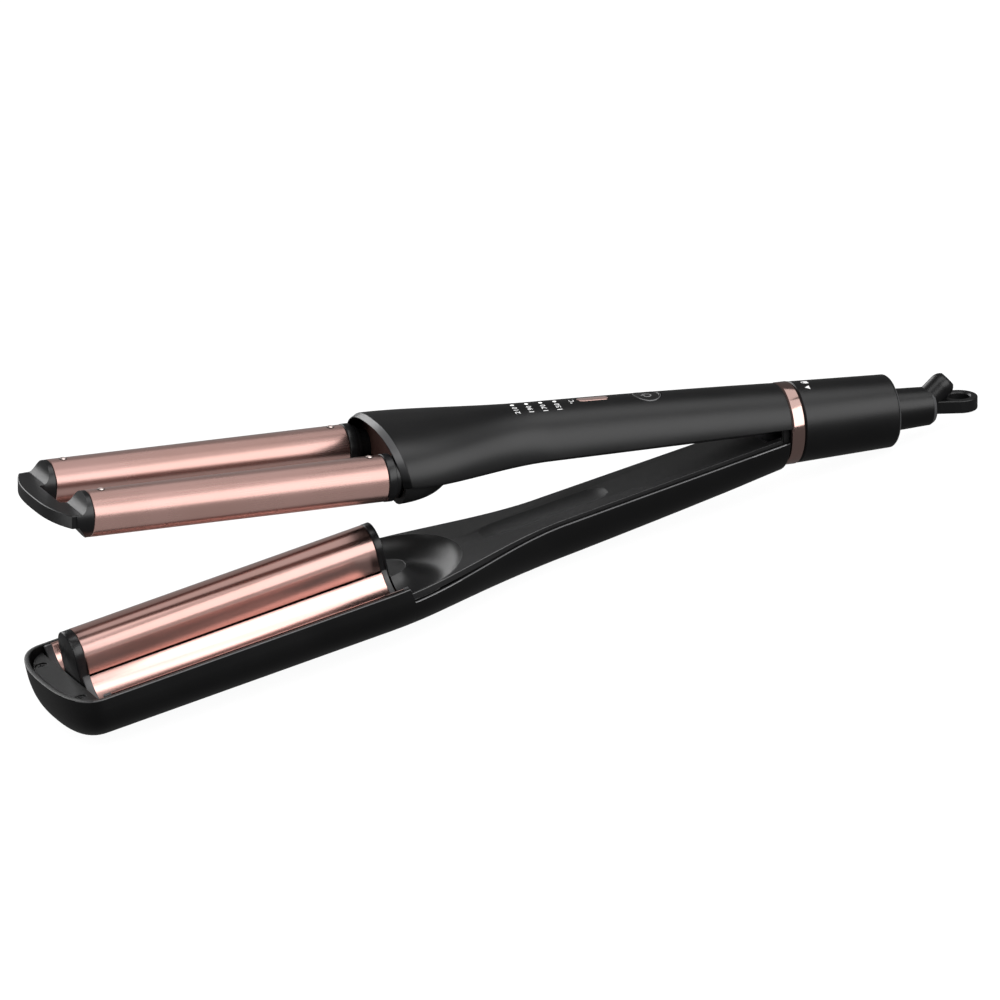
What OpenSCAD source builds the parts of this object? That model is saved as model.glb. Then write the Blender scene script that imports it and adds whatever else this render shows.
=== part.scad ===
// Hair waver: two hinged arms, a pair of heated barrels above, one barrel
// between two troughs below. Millimetres, +Z up, the waver lying open on z = 0.
//
// Two working frames are used and placed in the world by arm_lower() and
// arm_upper():
//   lower arm: origin on the hinge axis, -X to the tip, +Z out of the flat face
//   upper arm: origin on the handle axis at the trim ring, -X to the tip

/* [Pose] */
// Angle between the arms as the waver lies open
open_deg = 12.96; // [11:0.02:12.96]

/* [Barrels] */
// Outer diameter of each barrel
barrel_d = 18; // [17.4:0.1:18.4]
// Wall of the barrel tubes and of the trough plate
tube_wall = 1.2; // [0.8:0.1:1.4]
// Distance from the middle plane to each upper barrel axis
barrel_y = 20.4; // [20:0.1:20.8]
// Height of the upper barrel axes over the parting plane
barrel_z = 4.24; // [4:0.02:4.5]
// Height of the lower centre barrel axis over the parting plane
centre_z = 9.9; // [9.6:0.1:10.2]
// Inner radius of the troughs
trough_r = 11; // [10.8:0.1:11.2]

/* [Housing] */
// Wall of both arm shells
shell_wall = 2; // [1.6:0.1:2.2]
// Half width of the upper shell at its mouth
mouth_w = 31; // [30.8:0.1:31.2]
// Half width of the lower boat
boat_w = 35.7; // [35.4:0.1:36]
// Depth of the lower boat under the parting plane
boat_d = 18.6; // [18:0.1:19]

/* [Controls] */
// Diameter of the power button
power_d = 11.2; // [10:0.1:11.6]
// Length of the temperature key
key_l = 13; // [11:0.5:14]
// Width of the temperature key
key_w = 4; // [3:0.25:4.5]
// Distance between the status lights
led_pitch = 5.77; // [5:0.1:6]

/* [Swivel] */
// Bore of the cord inlet in the swivel
cord_bore_d = 6.2; // [5:0.1:6.6]
// Hole of the hanging loop
loop_hole_d = 8.8; // [8:0.1:9.2]

/* [Hidden] */
$fn = 64;

hinge_x = 4.3;                 // hinge axis in the upper arm's frame
lie_deg = 0.666;                // lower arm tilts this much as it lies
lift = 22.13;                 // hinge height over the floor
shift_x = 119.064;              // moves the origin to the middle of the box
barrel_r = barrel_d / 2;
ub0 = -291.0;                  // upper barrel metal, tip end (upper frame)
ub1 = -171.7;                  // upper barrel metal, root end
lb0 = -297.3;                  // lower metal, tip end (lower frame)
lb1 = -175.6;                  // lower metal, root end
mouth_x = -167.3;
plate_up = 0.6;                // flat face of the upper cover
plate_lo = -0.6;               // flat face of the lower cover
led_x = [for (i = [0:3]) -110.3 + led_pitch * i];
key_x = -77.4;
power_x = -55.2;
tray_y = 20.9;
tray_x = -306.3;

// --- placement -------------------------------------------------------------
module arm_lower() translate([shift_x, 0, lift]) rotate([0, -lie_deg, 0]) children();
module arm_upper() arm_lower() rotate([0, open_deg, 0]) translate([-hinge_x, 0, 0]) children();
// cylinder along X from x0 to x1
module xcyl(x0, x1, r, y = 0, z = 0) translate([x0, y, z]) rotate([0, 90, 0]) cylinder(h = x1 - x0, r = r);
// ring about the X axis, profile points given as [x, r]
module xring(pts) rotate([0, 90, 0]) rotate_extrude() polygon([for (p = pts) [p[1], p[0]]]);
// extrude a drawing made in the y-z plane along X
module xslab(x0, x1) translate([x0, 0, 0]) rotate([90, 0, 90]) linear_extrude(x1 - x0) children();

// --- section laws of the two shells ------------------------------------------
function ss(t) = let(u = max(0, min(1, t))) u * u * (3 - 2 * u);
function su(v, n) = pow(max(0, 1 - pow(max(0, min(1, v)), n)), 1 / n);
// upper arm: half width, height, roundness of the section at x
function uw(x) = let(b = 15.6 - 0.0147 * x) b + (mouth_w - b) * ss((-x - 100) / 62);
function uh(x) = 15.7 - 0.0545 * x - 0.000135 * x * x;
function un(x) = 2 + 0.4 * ss((-x - 100) / 62);
// lower arm
function lw0(x) = let(b = 15.6 + 0.0147 * (-x - 4.3)) b + (boat_w - b) * ss((-x - 102) / 80);
function lw(x) = lw0(x) * (x < -300.5 ? pow(max(0, 1 - pow(min(1, (-x - 300.5) / 13.55), 2.43)), 0.4115) : 1);
function ld0(x) = let(s = -x - 4.3, q = 15.7 + 0.0545 * s - 0.000135 * s * s, b = ss((-x - 100) / 60))
    q * (1 - b) + (boat_d + 0.3) * b;
function ld(x) = ld0(x) * (x < -298.3 ? pow(max(0, 1 - pow(min(1, (-x - 298.3) / 15.95), 2.7)), 0.3704) : 1);
function ln(x) = 2 + 0.5 * ss((-x - 100) / 70);
function lrim(x) = x < -173.5 ? 2.7 : -1.6 - 1.6 * ss((-x - 100) / 70);

// --- lofted half shells ---------------------------------------------------------
// One ring: rim point, points round the section, rim point. s is +1 for a shell
// that arches up, -1 for one that hangs down. w, h, n: section, g: rim height
// measured along s.
NS = 26;
function ring_pts(x, w, h, n, g, s, lean) =
    let(a0 = g > 0 ? asin(pow(g / h, n / 2)) : 0)
    [for (i = [0:NS])
        let(a = i == 0 ? a0 : i == NS ? 180 - a0 : a0 + (180 - 2 * a0) * (i - 0.5) / (NS - 1),
            c = cos(a),
            y = (c < 0 ? -1 : 1) * w * pow(abs(c), 2 / n),
            z = (i == 0 || i == NS) ? g : h * pow(abs(sin(a)), 2 / n))
        [x + lean * z, y, s * z]];
function cat(v) = [for (a = v) for (b = a) b];
// outer and inner ring lists give a shell open along its rim; closed = true
// closes the first ring as a nose, otherwise both ends are open rims
module shell_loft(outer, inner, s, nose) {
    m = len(outer);
    k = NS + 1;
    o = m * k;
    pts = concat(cat(outer), cat(inner));
    fo = [for (j = [0:m - 2]) for (i = [0:NS - 1]) each
        [[j * k + i, (j + 1) * k + i, (j + 1) * k + i + 1], [j * k + i, (j + 1) * k + i + 1, j * k + i + 1]]];
    fi = [for (j = [0:m - 2]) for (i = [0:NS - 1]) each
        [[o + j * k + i, o + (j + 1) * k + i + 1, o + (j + 1) * k + i], [o + j * k + i, o + j * k + i + 1, o + (j + 1) * k + i + 1]]];
    rim = [for (j = [0:m - 2]) each [
        [j * k, o + j * k, o + (j + 1) * k], [j * k, o + (j + 1) * k, (j + 1) * k],
        [j * k + NS, o + (j + 1) * k + NS, o + j * k + NS], [j * k + NS, (j + 1) * k + NS, o + (j + 1) * k + NS]]];
    e = (m - 1) * k;
    rear = [for (i = [0:NS - 1]) each [[e + i, o + e + i, o + e + i + 1], [e + i, o + e + i + 1, e + i + 1]]];
    front = nose
        ? concat([[for (i = [0:NS]) i]], [[for (i = [NS:-1:0]) o + i]], [[0, NS, o + NS], [0, o + NS, o]])
        : [for (i = [0:NS - 1]) each [[i, o + i + 1, o + i], [i, i + 1, o + i + 1]]];
    f = concat(fo, fi, rim, rear, front);
    polyhedron(points = pts, faces = s > 0 ? f : [for (q = f) [for (i = [len(q) - 1:-1:0]) q[i]]]);
}
// round wire through hand-set points
function unit(v) = v / norm(v);
module wire(p, r, sides = 8) {
    m = len(p);
    t = [for (i = [0:m - 1]) unit(p[min(m - 1, i + 1)] - p[max(0, i - 1)])];
    rings = [for (i = [0:m - 1])
        let(u = unit(cross(t[i], abs(t[i][2]) < 0.9 ? [0, 0, 1] : [1, 0, 0])), v = cross(t[i], u))
        [for (j = [0:sides - 1]) p[i] + r * (cos(360 * j / sides) * u + sin(360 * j / sides) * v)]];
    polyhedron(points = cat(rings), faces = concat(
        [[for (j = [sides - 1:-1:0]) j]],
        [[for (j = [0:sides - 1]) (m - 1) * sides + j]],
        [for (i = [0:m - 2]) for (j = [0:sides - 1]) each [
            [i * sides + j, i * sides + (j + 1) % sides, (i + 1) * sides + j],
            [i * sides + (j + 1) % sides, (i + 1) * sides + (j + 1) % sides, (i + 1) * sides + j]]]));
}

// ============================ upper arm =====================================
UX = [-167.3, -164.4, -162, -157, -152, -147, -142, -137, -132, -127, -122, -117, -111, -104, -92, -76, -58, -38, -18, -1.02];
// the mouth plane leans towards the tip at its top
function mouth_lean(x) = -0.2 * (1 - ss((x + 167.3) / 45));
module upper_shell() color([0.09, 0.09, 0.095]) arm_upper() difference() {
    shell_loft(
        [for (i = [0:len(UX) - 1]) let(x = UX[i], c = i == 0 ? 1 : 0)
            ring_pts(x - 9 * mouth_lean(x), uw(x) - 1.7 * c, uh(x) - 1.32 * c, un(x), 2, 1, mouth_lean(x))],
        [for (i = [0:len(UX) - 1]) let(x = UX[i], c = i == 0 ? 2.3 : i == 1 ? 1.3 : i == 2 ? 0.5 : 0)
            ring_pts(x - 9 * mouth_lean(x), uw(x) - shell_wall - c * 0.12, uh(x) - shell_wall + c * 0.19, un(x), 2, 1, mouth_lean(x))],
        1, false);
    translate([power_x, 0, 10]) cylinder(h = 20, d = power_d + 0.6);
    translate([key_x, 0, 10]) hole_slot(key_l + 0.5, key_w + 0.5, 20);
    for (x = led_x) translate([x, 0, 10]) cylinder(h = 20, d = 1.7);
}
module hole_slot(l, w, h) {
    translate([-(l - w) / 2, -w / 2, 0]) cube([l - w, w, h]);
    for (s = [-1, 1]) translate([s * (l - w) / 2, 0, 0]) cylinder(h = h, d = w);
}
function outline_u(x0, x1, inset, st = 6) = let(n = floor((x1 - x0) / st), xs = [for (i = [0:n]) x0 + (x1 - x0) * i / n])
    concat([for (x = xs) [x, -uw(x) + inset]], [for (i = [n:-1:0]) [xs[i], uw(xs[i]) - inset]]);
function outline_l(x0, x1, inset, st = 6) = let(n = floor((x1 - x0) / st), xs = [for (i = [0:n]) x0 + (x1 - x0) * i / n])
    concat([for (x = xs) [x, -lw(x) + inset]], [for (i = [n:-1:0]) [xs[i], lw(xs[i]) - inset]]);
// half ring gutter round the middle of the arm, open to the tip
module half_torus(cx, x0, r, zcut0, zcut1) intersection() {
    translate([cx, 0, barrel_z]) rotate_extrude() translate([barrel_y, 0]) circle(r = r);
    translate([x0, -60, zcut0]) cube([60, 120, zcut1 - zcut0]);
}
lip_x = -165.6;
// flat cover under the upper shell, with the lip that cradles the barrel roots
module upper_inner_cover() color([0.07, 0.07, 0.075]) arm_upper() difference() {
    union() {
        translate([0, 0, plate_up]) linear_extrude(2) polygon(outline_u(lip_x, -12, 2.6));
        difference() {
            half_torus(-168.1, lip_x, 10.7, -8, 1.95);
            half_torus(-168.1, lip_x - 1, 9.3, -8, 3);
        }
    }
    for (s = [-1, 1]) xcyl(-170, -156.2, 8.4, s * barrel_y, barrel_z);
    for (s = [-1, 1]) xcyl(-170, -166, 9.32, s * barrel_y, barrel_z);
    translate([-104.5, 0, plate_up - 1]) hole_slot(54.2, 13.2, 1.6);
}
// heat-resistant insulator that carries both barrels, seen inside the mouth
module mouth_block() color([0.27, 0.22, 0.21]) arm_upper() difference() {
    x = -156;
    e = (uw(x) - 2.7) * pow(cos(8), 2 / un(x));
    xslab(-162.4, -156.6) polygon(concat([[-e, 2.8], [e, 2.8]], [for (i = [0:32]) let(a = 8 + 164 * i / 32)
        [(uw(x) - 2.7) * (i == 16 ? 0 : sign(cos(a)) * pow(abs(cos(a)), 2 / un(x))), (uh(x) - 2.6) * pow(sin(a), 2 / un(x))]]));
    for (s = [-1, 1]) xcyl(-170, -150, 6.55, s * barrel_y, barrel_z);
}
module barrel_tube(s) color([0.86, 0.66, 0.6]) arm_upper() difference() {
    xcyl(ub0, ub1, barrel_r, s * barrel_y, barrel_z);
    xcyl(ub0 - 1, ub1 + 1, barrel_r - tube_wall, s * barrel_y, barrel_z);
    for (x = [-285.2, -176.6]) translate([x, s * barrel_y, barrel_z]) cylinder(h = 12, r = 1.35);
}
module barrel_near() barrel_tube(-1);
module barrel_far() barrel_tube(1);
module barrel_collars() color([0.06, 0.06, 0.065]) arm_upper() for (s = [-1, 1]) difference() {
    union() {
        xcyl(ub1, -168.3, 9.2, s * barrel_y, barrel_z);
        xcyl(ub1, -157, 6.5, s * barrel_y, barrel_z);
        xcyl(ub1 - 4, ub1, barrel_r - tube_wall - 0.05, s * barrel_y, barrel_z);
    }
    xcyl(ub1 - 5, -150, 5, s * barrel_y, barrel_z);
}
module barrel_rivets() color([0.93, 0.8, 0.76]) arm_upper() for (s = [-1, 1]) for (x = [-285.2, -176.6])
    translate([x, s * barrel_y, barrel_z]) {
        translate([0, 0, barrel_r - 1.25]) cylinder(h = 1.5, r = 1.3);
    }
// half-round aluminium blocks that press the heater bars to the tube wall
module heater_clamps() color("silver") arm_upper() for (s = [-1, 1]) difference() {
    xcyl(-284, -180, barrel_r - tube_wall - 0.1, s * barrel_y, barrel_z);
    translate([-290, s * barrel_y - 10, barrel_z - 1.7]) cube([120, 20, 3.4]);
}
module barrel_heaters() color([0.92, 0.9, 0.84]) arm_upper() for (s = [-1, 1])
    translate([-283, s * barrel_y - 5.5, barrel_z - 1.6]) cube([102, 11, 3.2]);
// black nose piece that plugs and joins both barrel tips: two caps with scooped
// shoulders and slanted undersides, joined by a crescent plate
nose_x = -305.4;
nose_w = 28.9;
function nose_front(y) = nose_x + 5.6 * pow(abs(y) / 29.2, 2.8);
module cap_side() translate([0, 60, 0]) rotate([90, 0, 0]) linear_extrude(120) polygon([[ub0 + 1, -8], [-292.2, -8], [-292.2, -4.9],
    [-297.1, 1.5], [-298, 1.5], [-298, 6.7], [-296.2, 6.7], [-295.2, 7.1], [-294.3, 8], [-293.6, 9.2], [-293.2, 10.6], [-292.95, 12], [-292.8, 14], [ub0 + 1, 14]]);
module tip_bridge() color([0.08, 0.08, 0.085]) arm_upper() {
    for (s = [-1, 1]) intersection() {
        xcyl(-298, ub0, barrel_r - 0.05, s * barrel_y, barrel_z);
        cap_side();
    }
    difference() {
        translate([0, 0, 1.5]) linear_extrude(5.2) polygon(concat(
            [for (i = [0:28]) let(y = nose_w * (i / 14 - 1)) [nose_front(y), y]],
            [[-296, nose_w], [-296, -nose_w]]));
        // room for the lower centre barrel's cap as the arms close
        translate([-298.3, -11.3, -2]) cube([20, 22.6, 12]);
    }
    for (s = [-1, 1]) difference() {
        xcyl(ub0, ub0 + 4, barrel_r - tube_wall - 0.05, s * barrel_y, barrel_z);
        xcyl(ub0 - 1, ub0 + 5, 5, s * barrel_y, barrel_z);
    }
}
module control_board() color([0.05, 0.3, 0.15]) arm_upper() difference() {
    translate([-122, -8.5, 8.6]) cube([84, 17, 1.6]);
    for (x = [-118, -42]) translate([x, 5, 0]) cylinder(h = 20, r = 1.2);
}
module tact_switches() color([0.2, 0.2, 0.22]) arm_upper() for (x = [power_x, key_x]) {
    translate([x - 3, -3, 10.2]) cube([6, 6, 2.4]);
    translate([x, 0, 12.6]) cylinder(h = 0.6, r = 1.6);
}
module status_leds() color([0.95, 0.95, 0.9]) arm_upper() for (x = led_x)
    translate([x - 0.8, -0.6, 10.2]) cube([1.6, 1.2, 0.8]);
module led_light_pipes() color([0.98, 0.98, 0.96]) arm_upper() for (x = led_x)
    translate([x, 0, 11.1]) cylinder(h = uh(x) - 11.1 + 0.05, d = 1.5);
module thermal_fuse() color([0.8, 0.8, 0.82]) arm_upper() xcyl(-151, -141, 1.7, 0, 11);
module barrel_thermistors() color([0.75, 0.4, 0.2]) arm_upper() for (s = [-1, 1])
    translate([-179.4, s * barrel_y, barrel_z]) sphere(r = 1.4);
module upper_harness() color([0.8, 0.1, 0.1]) arm_upper() {
    for (s = [-1, 1]) wire([[-122.3, 5 * s, 9.4], [-130, 7 * s, 8.4], [-142, 13 * s, 6.4], [-152, 18.4 * s, 5], [-166, 20.4 * s, 4.4], [-178, 20.4 * s, 5.6]], 0.8);
    wire([[-37.7, -4, 9.4], [-30, -4, 9.6], [-14, -4, 9.4], [-4, -4, 9.2], [12, -4, 9.6]], 0.9);
    wire([[-37.7, 4, 9.4], [-30, 4, 9.6], [-14, 4, 9.4], [-4, 4, 9.2], [12, 4, 9.6]], 0.9);
}
// glass-filled frame inside the handle: hinge cheeks, sleeve bearing, swivel socket
module hinge_frame() color([0.25, 0.25, 0.27]) arm_upper() difference() {
    union() {
        difference() {
            union() {
                xcyl(14.4, 44.7, 12.2);
                xcyl(30, 31.4, 12.6);
            }
            xcyl(13, 22, 10.4);
            xcyl(20, 42, 7.06);
            xcyl(40.8, 46, 8.6);
        }
        for (s = [-1, 1]) translate([-3, s > 0 ? 9.2 : -11.6, -5.4]) cube([17, 2.4, 11.4]);
        for (s = [-1, 1]) translate([13, s > 0 ? 9.2 : -11.6, -3]) cube([4, 2.4, 6]);
        translate([-30, -11.6, 3.2]) cube([27, 23.2, 2.8]);
    }
    translate([hinge_x, 20, 0]) rotate([90, 0, 0]) cylinder(h = 40, r = 2);
    for (s = [-1, 1]) translate([-22, 8 * s, 0]) cylinder(h = 20, r = 1.25);
    translate([-14, -8, 0]) cube([40, 16, 8]);
}
module hinge_pin() color([0.75, 0.76, 0.78]) arm_upper() translate([hinge_x, 12.2, 0]) rotate([90, 0, 0]) cylinder(h = 24.4, r = 1.97);
module pin_clips() color([0.6, 0.6, 0.62]) arm_upper() for (s = [-1, 1])
    translate([hinge_x, s > 0 ? 12.15 : -11.65, 0]) rotate([90, 0, 0]) difference() { cylinder(h = 0.5, r = 3.2); translate([0, 0, -1]) cylinder(h = 3, r = 1.99); }
module frame_screws() color([0.7, 0.7, 0.72]) arm_upper() for (s = [-1, 1]) translate([-22, 8 * s, 0]) {
    translate([0, 0, 6.05]) cylinder(h = 1.6, r = 2.2);
    translate([0, 0, 2.7]) cylinder(h = 3.4, r = 1.2);
}
module trim_ring() color([0.85, 0.66, 0.6]) arm_upper() difference() {
    xring([[-1, 13.4], [-1, 15.4], [-0.5, 15.9], [4.0, 15.9], [4.5, 15.4], [4.5, 13.4]]);
}
module brush_carrier() color([0.15, 0.15, 0.16]) arm_upper() translate([14.8, -2.5, 8.8]) cube([5.6, 5, 1.2]);
module brush_contacts() color([0.85, 0.65, 0.3]) arm_upper() for (x = [15.6, 18.3])
    translate([x, -1.5, 6.9]) cube([1.2, 3, 1.85]);
// torsion spring between the knuckle ears, legs against frame and knuckle
function coil_pts() = concat([[-12, -3.9, 2.6], [-6, -3.9, 3.1], [-2, -3.9, 3.35]],
    [for (i = [0:56]) let(a = 90 - 22.5 * i) [3.4 * cos(a), -3.7 + 7.4 * i / 56, 3.4 * sin(a)]],
    [[-2, 3.9, -3.3], [-6, 3.9, -3.3], [-12, 3.9, -3.3]]);
module hinge_spring() color([0.7, 0.71, 0.73]) arm_upper() translate([hinge_x, 0, 0]) wire(coil_pts(), 0.5, 8);
module lock_sleeve() color([0.09, 0.09, 0.095]) arm_upper() difference() {
    xring([[4.7, 13.3], [4.7, 15.3], [5.1, 15.7], [43.5, 14.1], [44.4, 13.7], [44.8, 13.1], [44.8, 12.27],
        [31.7, 12.27], [31.7, 12.95], [29.7, 12.95], [29.7, 12.27], [14.2, 12.27], [14.2, 13.3]]);
    translate([20, -1.1, -14]) cube([4, 2.2, 2.2]);
}

// ============================ swivel ==========================================
module swivel_gland() color([0.09, 0.09, 0.095]) arm_upper() difference() {
    union() {
        xring([[15, 0], [15, 6], [22.1, 6], [22.1, 7], [41, 7], [41.1, 8.2], [46, 8.2], [60.6, 7.45], [62.4, 6.7], [63.3, 5.4], [63.4, 0]]);
        // cord stub with a domed end, leaning up and back
        translate([56.6, 0, -1.4]) rotate([0, 48.5, 0]) rotate_extrude() polygon(concat([[0, 0], [4.95, 0]],
            [for (a = [0:10:80]) [4.95 * cos(a), 13.25 + 4.95 * sin(a)]], [[0, 18.2]]));
        // hanging loop on a neck that widens to it
        translate([0, 0, -2.4]) linear_extrude(5.1) polygon([[56, -4], [62, -4.2], [71.9, -7.1], [74, -7.1], [74, 7.1], [71.9, 7.1], [62, 4.2], [56, 4]]);
        translate([74, 0, -2.4]) cylinder(h = 5.1, r = 7.4);
    }
    translate([74, 0, -5]) cylinder(h = 12, d = loop_hole_d);
    // cord way
    translate([56.6, 0, -1.4]) rotate([0, 48.5, 0]) translate([0, 0, 3]) cylinder(h = 20, d = cord_bore_d);
    xcyl(14, 58, 2.6);
}
module slip_rings() color([0.85, 0.65, 0.3]) arm_upper() for (x = [15.2, 17.9])
    xring([[x, 6.02], [x, 6.8], [x + 2, 6.8], [x + 2, 6.02]]);
module swivel_clip() color([0.6, 0.6, 0.62]) arm_upper() xring([[20.7, 6.02], [20.7, 8.4], [21.8, 8.4], [21.8, 6.02]]);

// ============================ controls ========================================
module power_button() color([0.08, 0.08, 0.085]) arm_upper() translate([power_x, 0, 0]) difference() {
    union() {
        translate([0, 0, 15.4]) cylinder(h = 2.1, d = power_d);
        translate([0, 0, 13.95]) cylinder(h = 0.6, d = power_d + 1.2);
        translate([0, 0, 14.5]) cylinder(h = 1, d = power_d - 1);
    }
    translate([0, 0, 17.2]) cylinder(h = 2, d = power_d - 2.4);
}
module temperature_key() color([0.86, 0.66, 0.6]) arm_upper() translate([key_x, 0, 0]) {
    translate([0, 0, 16.6]) hole_slot(key_l, key_w, 2.55);
    translate([0, 0, 15.2]) hole_slot(key_l + 1.2, key_w + 1.2, 0.7);
    translate([0, 0, 15.8]) hole_slot(key_l - 0.6, key_w - 0.6, 0.9);
    translate([0, 0, 13.9]) cylinder(h = 1.5, r = 1.6);
}

// ============================ lower arm =========================================
LX = [-314.03, -313.9, -313.6, -313, -312, -310.5, -308.5, -306, -303.2, -300.4, -298, -292, -280, -262, -235, -205, -185, -175, -173.8, -172.6, -167, -161, -155, -149, -143, -137, -131, -124, -116, -107, -95, -78, -58, -38, -22, -12, -6.2];
module lower_shell() color([0.085, 0.085, 0.09]) arm_lower() difference() {
    shell_loft(
        [for (x = LX) ring_pts(x, lw(x), ld(x), ln(x), -lrim(x), -1, x > -30 ? 0.23 * (x > -13 ? -1 : -(x + 30) / 17) : 0)],
        [for (x = LX) let(xi = x < -296 ? -296 + (x + 296) * 0.885 : x, k = max(0.6, 1 - (max(0, -x - 300)) / 36))
            ring_pts(xi, x < -296 ? lw(x) * (1 - shell_wall / boat_w) : lw(x) - shell_wall,
                ld(x) - shell_wall * k, ln(x), -lrim(x), -1, x > -30 ? 0.23 * (x > -13 ? -1 : -(x + 30) / 17) : 0)],
        -1, true);
    translate([-330, -60, -boat_d - 20]) cube([330, 120, 20]);
}
chan_x = -172.5;
// flat cover of the lower arm with the round channel the upper lip nests in
module lower_inner_cover() color([0.07, 0.07, 0.075]) arm_lower() difference() {
    union() {
        translate([0, 0, plate_lo - 2.4]) linear_extrude(2.4) polygon(outline_l(chan_x, -9, 2.8));
        half_torus(chan_x, chan_x, 13.5, -12, plate_lo);
    }
    half_torus(chan_x, chan_x - 1, 12, -12, 3);
    // shallow oblong recess
    translate([-104.5, 0, plate_lo - 0.6]) hole_slot(54.2, 13.2, 3);
    // slot round the hinge ears
    translate([-15, -9.4, plate_lo - 4]) cube([15, 18.8, 8]);
}
module hinge_knuckle() color([0.3, 0.3, 0.32]) arm_lower() difference() {
    union() {
        for (s = [-1, 1]) translate([0, s > 0 ? 8.9 : -5.9, 0]) rotate([90, 0, 0]) {
            cylinder(h = 3, r = 4.8);
            translate([-14, -7.2, 0]) cube([14, 5, 3]);
        }
        translate([-38, -8.9, -7.2]) cube([27, 17.8, 2.6]);
    }
    translate([0, 20, 0]) rotate([90, 0, 0]) cylinder(h = 40, r = 2.03);
    for (s = [-1, 1]) translate([-32, 5 * s, -10]) cylinder(h = 20, r = 1.25);
}
module knuckle_screws() color([0.7, 0.7, 0.72]) arm_lower() for (s = [-1, 1]) translate([-32, 5 * s, 0]) {
    translate([0, 0, -4.55]) cylinder(h = 1.5, r = 2.2);
    translate([0, 0, -12.5]) cylinder(h = 8, r = 1.2);
}
module tip_tray() color([0.08, 0.08, 0.085]) arm_lower() difference() {
    translate([0, 0, -1.6]) linear_extrude(2.1) polygon(let(xs = [for (i = [0:9]) -311 + 9.6 * pow(i / 9, 1.7)])
        concat([for (x = xs) [x, -lw(x - 2.3) + 2.7]], [for (i = [9:-1:0]) [xs[i], lw(xs[i] - 2.3) - 2.7]]));
    for (s = [-1, 1]) translate([tray_x, s * tray_y, -0.4]) cylinder(h = 3, r = 2.4);
    for (s = [-1, 1]) translate([tray_x, s * tray_y, -4]) cylinder(h = 6, r = 1.25);
}
module tip_screws() color([0.25, 0.25, 0.26]) arm_lower() for (s = [-1, 1]) translate([tray_x, s * tray_y, 0]) difference() {
    union() {
        translate([0, 0, -0.38]) cylinder(h = 0.5, r = 2.2);
        translate([0, 0, -5.6]) cylinder(h = 5.4, r = 1.2);
    }
    translate([-1.5, -0.25, -0.15]) cube([3, 0.5, 1]);
    translate([-0.25, -1.5, -0.15]) cube([0.5, 3, 1]);
}
// one side's trough arc, drawn in the y-z plane
module arc_yz(s, r0, r1, ztop) intersection() {
    translate([s * barrel_y, barrel_z]) difference() { circle(r = r1); circle(r = r0); }
    translate([-50, -30]) square([100, 30 + ztop]);
}
module trough_plate() color([0.88, 0.68, 0.62]) arm_lower() {
    for (s = [-1, 1]) xslab(lb0, lb1) {
        arc_yz(s, trough_r, trough_r + tube_wall, 2.7);
        translate([s > 0 ? 31.6 : -33.1, 1.5]) square([1.5, 1.2]);
    }
    xslab(lb0, lb1) difference() {
        translate([-14.6, -6.4]) square([29.2, 1.2]);
        for (s = [-1, 1]) translate([s * barrel_y, barrel_z]) circle(r = trough_r + tube_wall / 2);
    }
}
module trough_tip_trims() color([0.2, 0.2, 0.21]) arm_lower() for (s = [-1, 1])
    xslab(-300.2, lb0 - 0.02) arc_yz(s, trough_r, trough_r + 1.6, 2.7);
module trough_rear_trims() color([0.3, 0.3, 0.31]) arm_lower() for (s = [-1, 1])
    xslab(lb1 + 0.02, -173.5) arc_yz(s, trough_r + 0.2, trough_r + 1.6, 2.5);
// arch outline, drawn in the y-z plane
module arch_yz(r, zb) {
    intersection() {
        translate([0, centre_z]) circle(r = r);
        translate([-r - 1, centre_z]) square([2 * r + 2, r + 1]);
    }
    translate([-r, zb]) square([2 * r, centre_z - zb + 0.001]);
}
module centre_barrel() color([0.86, 0.66, 0.6]) arm_lower() xslab(lb0, lb1) difference() {
    arch_yz(barrel_r, 2.75);
    arch_yz(barrel_r - tube_wall, 2);
}
module centre_tip_cap() color([0.08, 0.08, 0.085]) arm_lower() {
    xslab(-301.2, -300.25) arch_yz(barrel_r - 0.05, -3.5);
    xslab(-300.25, lb0 - 0.02) difference() {
        arch_yz(barrel_r - 0.05, -3.5);
        for (s = [-1, 1]) translate([s * barrel_y, barrel_z]) circle(r = trough_r + 1.65);
    }
    xslab(lb0 - 0.02, lb0 + 4) difference() { arch_yz(barrel_r - tube_wall - 0.05, 3); arch_yz(5, 2); }
}
module centre_rear_ring() color([0.06, 0.06, 0.065]) arm_lower() {
    xslab(-173.45, -172.6) arch_yz(barrel_r + 0.1, -0.6);
    xslab(lb1 + 0.02, -173.45) difference() {
        arch_yz(barrel_r + 0.1, -0.6);
        for (s = [-1, 1]) translate([s * barrel_y, barrel_z]) circle(r = trough_r + 1.65);
    }
    xslab(lb1 - 4, lb1 + 0.02) difference() { arch_yz(barrel_r - tube_wall - 0.05, 3); arch_yz(5, 2); }
}
module centre_heater() color([0.92, 0.9, 0.84]) arm_lower() translate([-288, -4.6, 12.5]) cube([100, 9.2, 3.2]);
module centre_clamp() color("silver") arm_lower() difference() {
    translate([-288, -6.6, 5]) cube([100, 13.2, 7.4]);
    translate([-289, -5, 4]) cube([102, 10, 6.6]);
}
module trough_heaters() color([0.92, 0.9, 0.84]) arm_lower() for (s = [-1, 1])
    translate([-288, s * barrel_y - 4, barrel_z - trough_r - tube_wall - 3.1]) cube([100, 8, 3]);
module heat_shield() color([0.75, 0.72, 0.62]) arm_lower() translate([-291, -25.5, -12.1]) cube([108, 51, 0.8]);
module trough_thermistor() color([0.75, 0.4, 0.2]) arm_lower() translate([-184, 0, -8.2]) sphere(r = 1.4);
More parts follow.
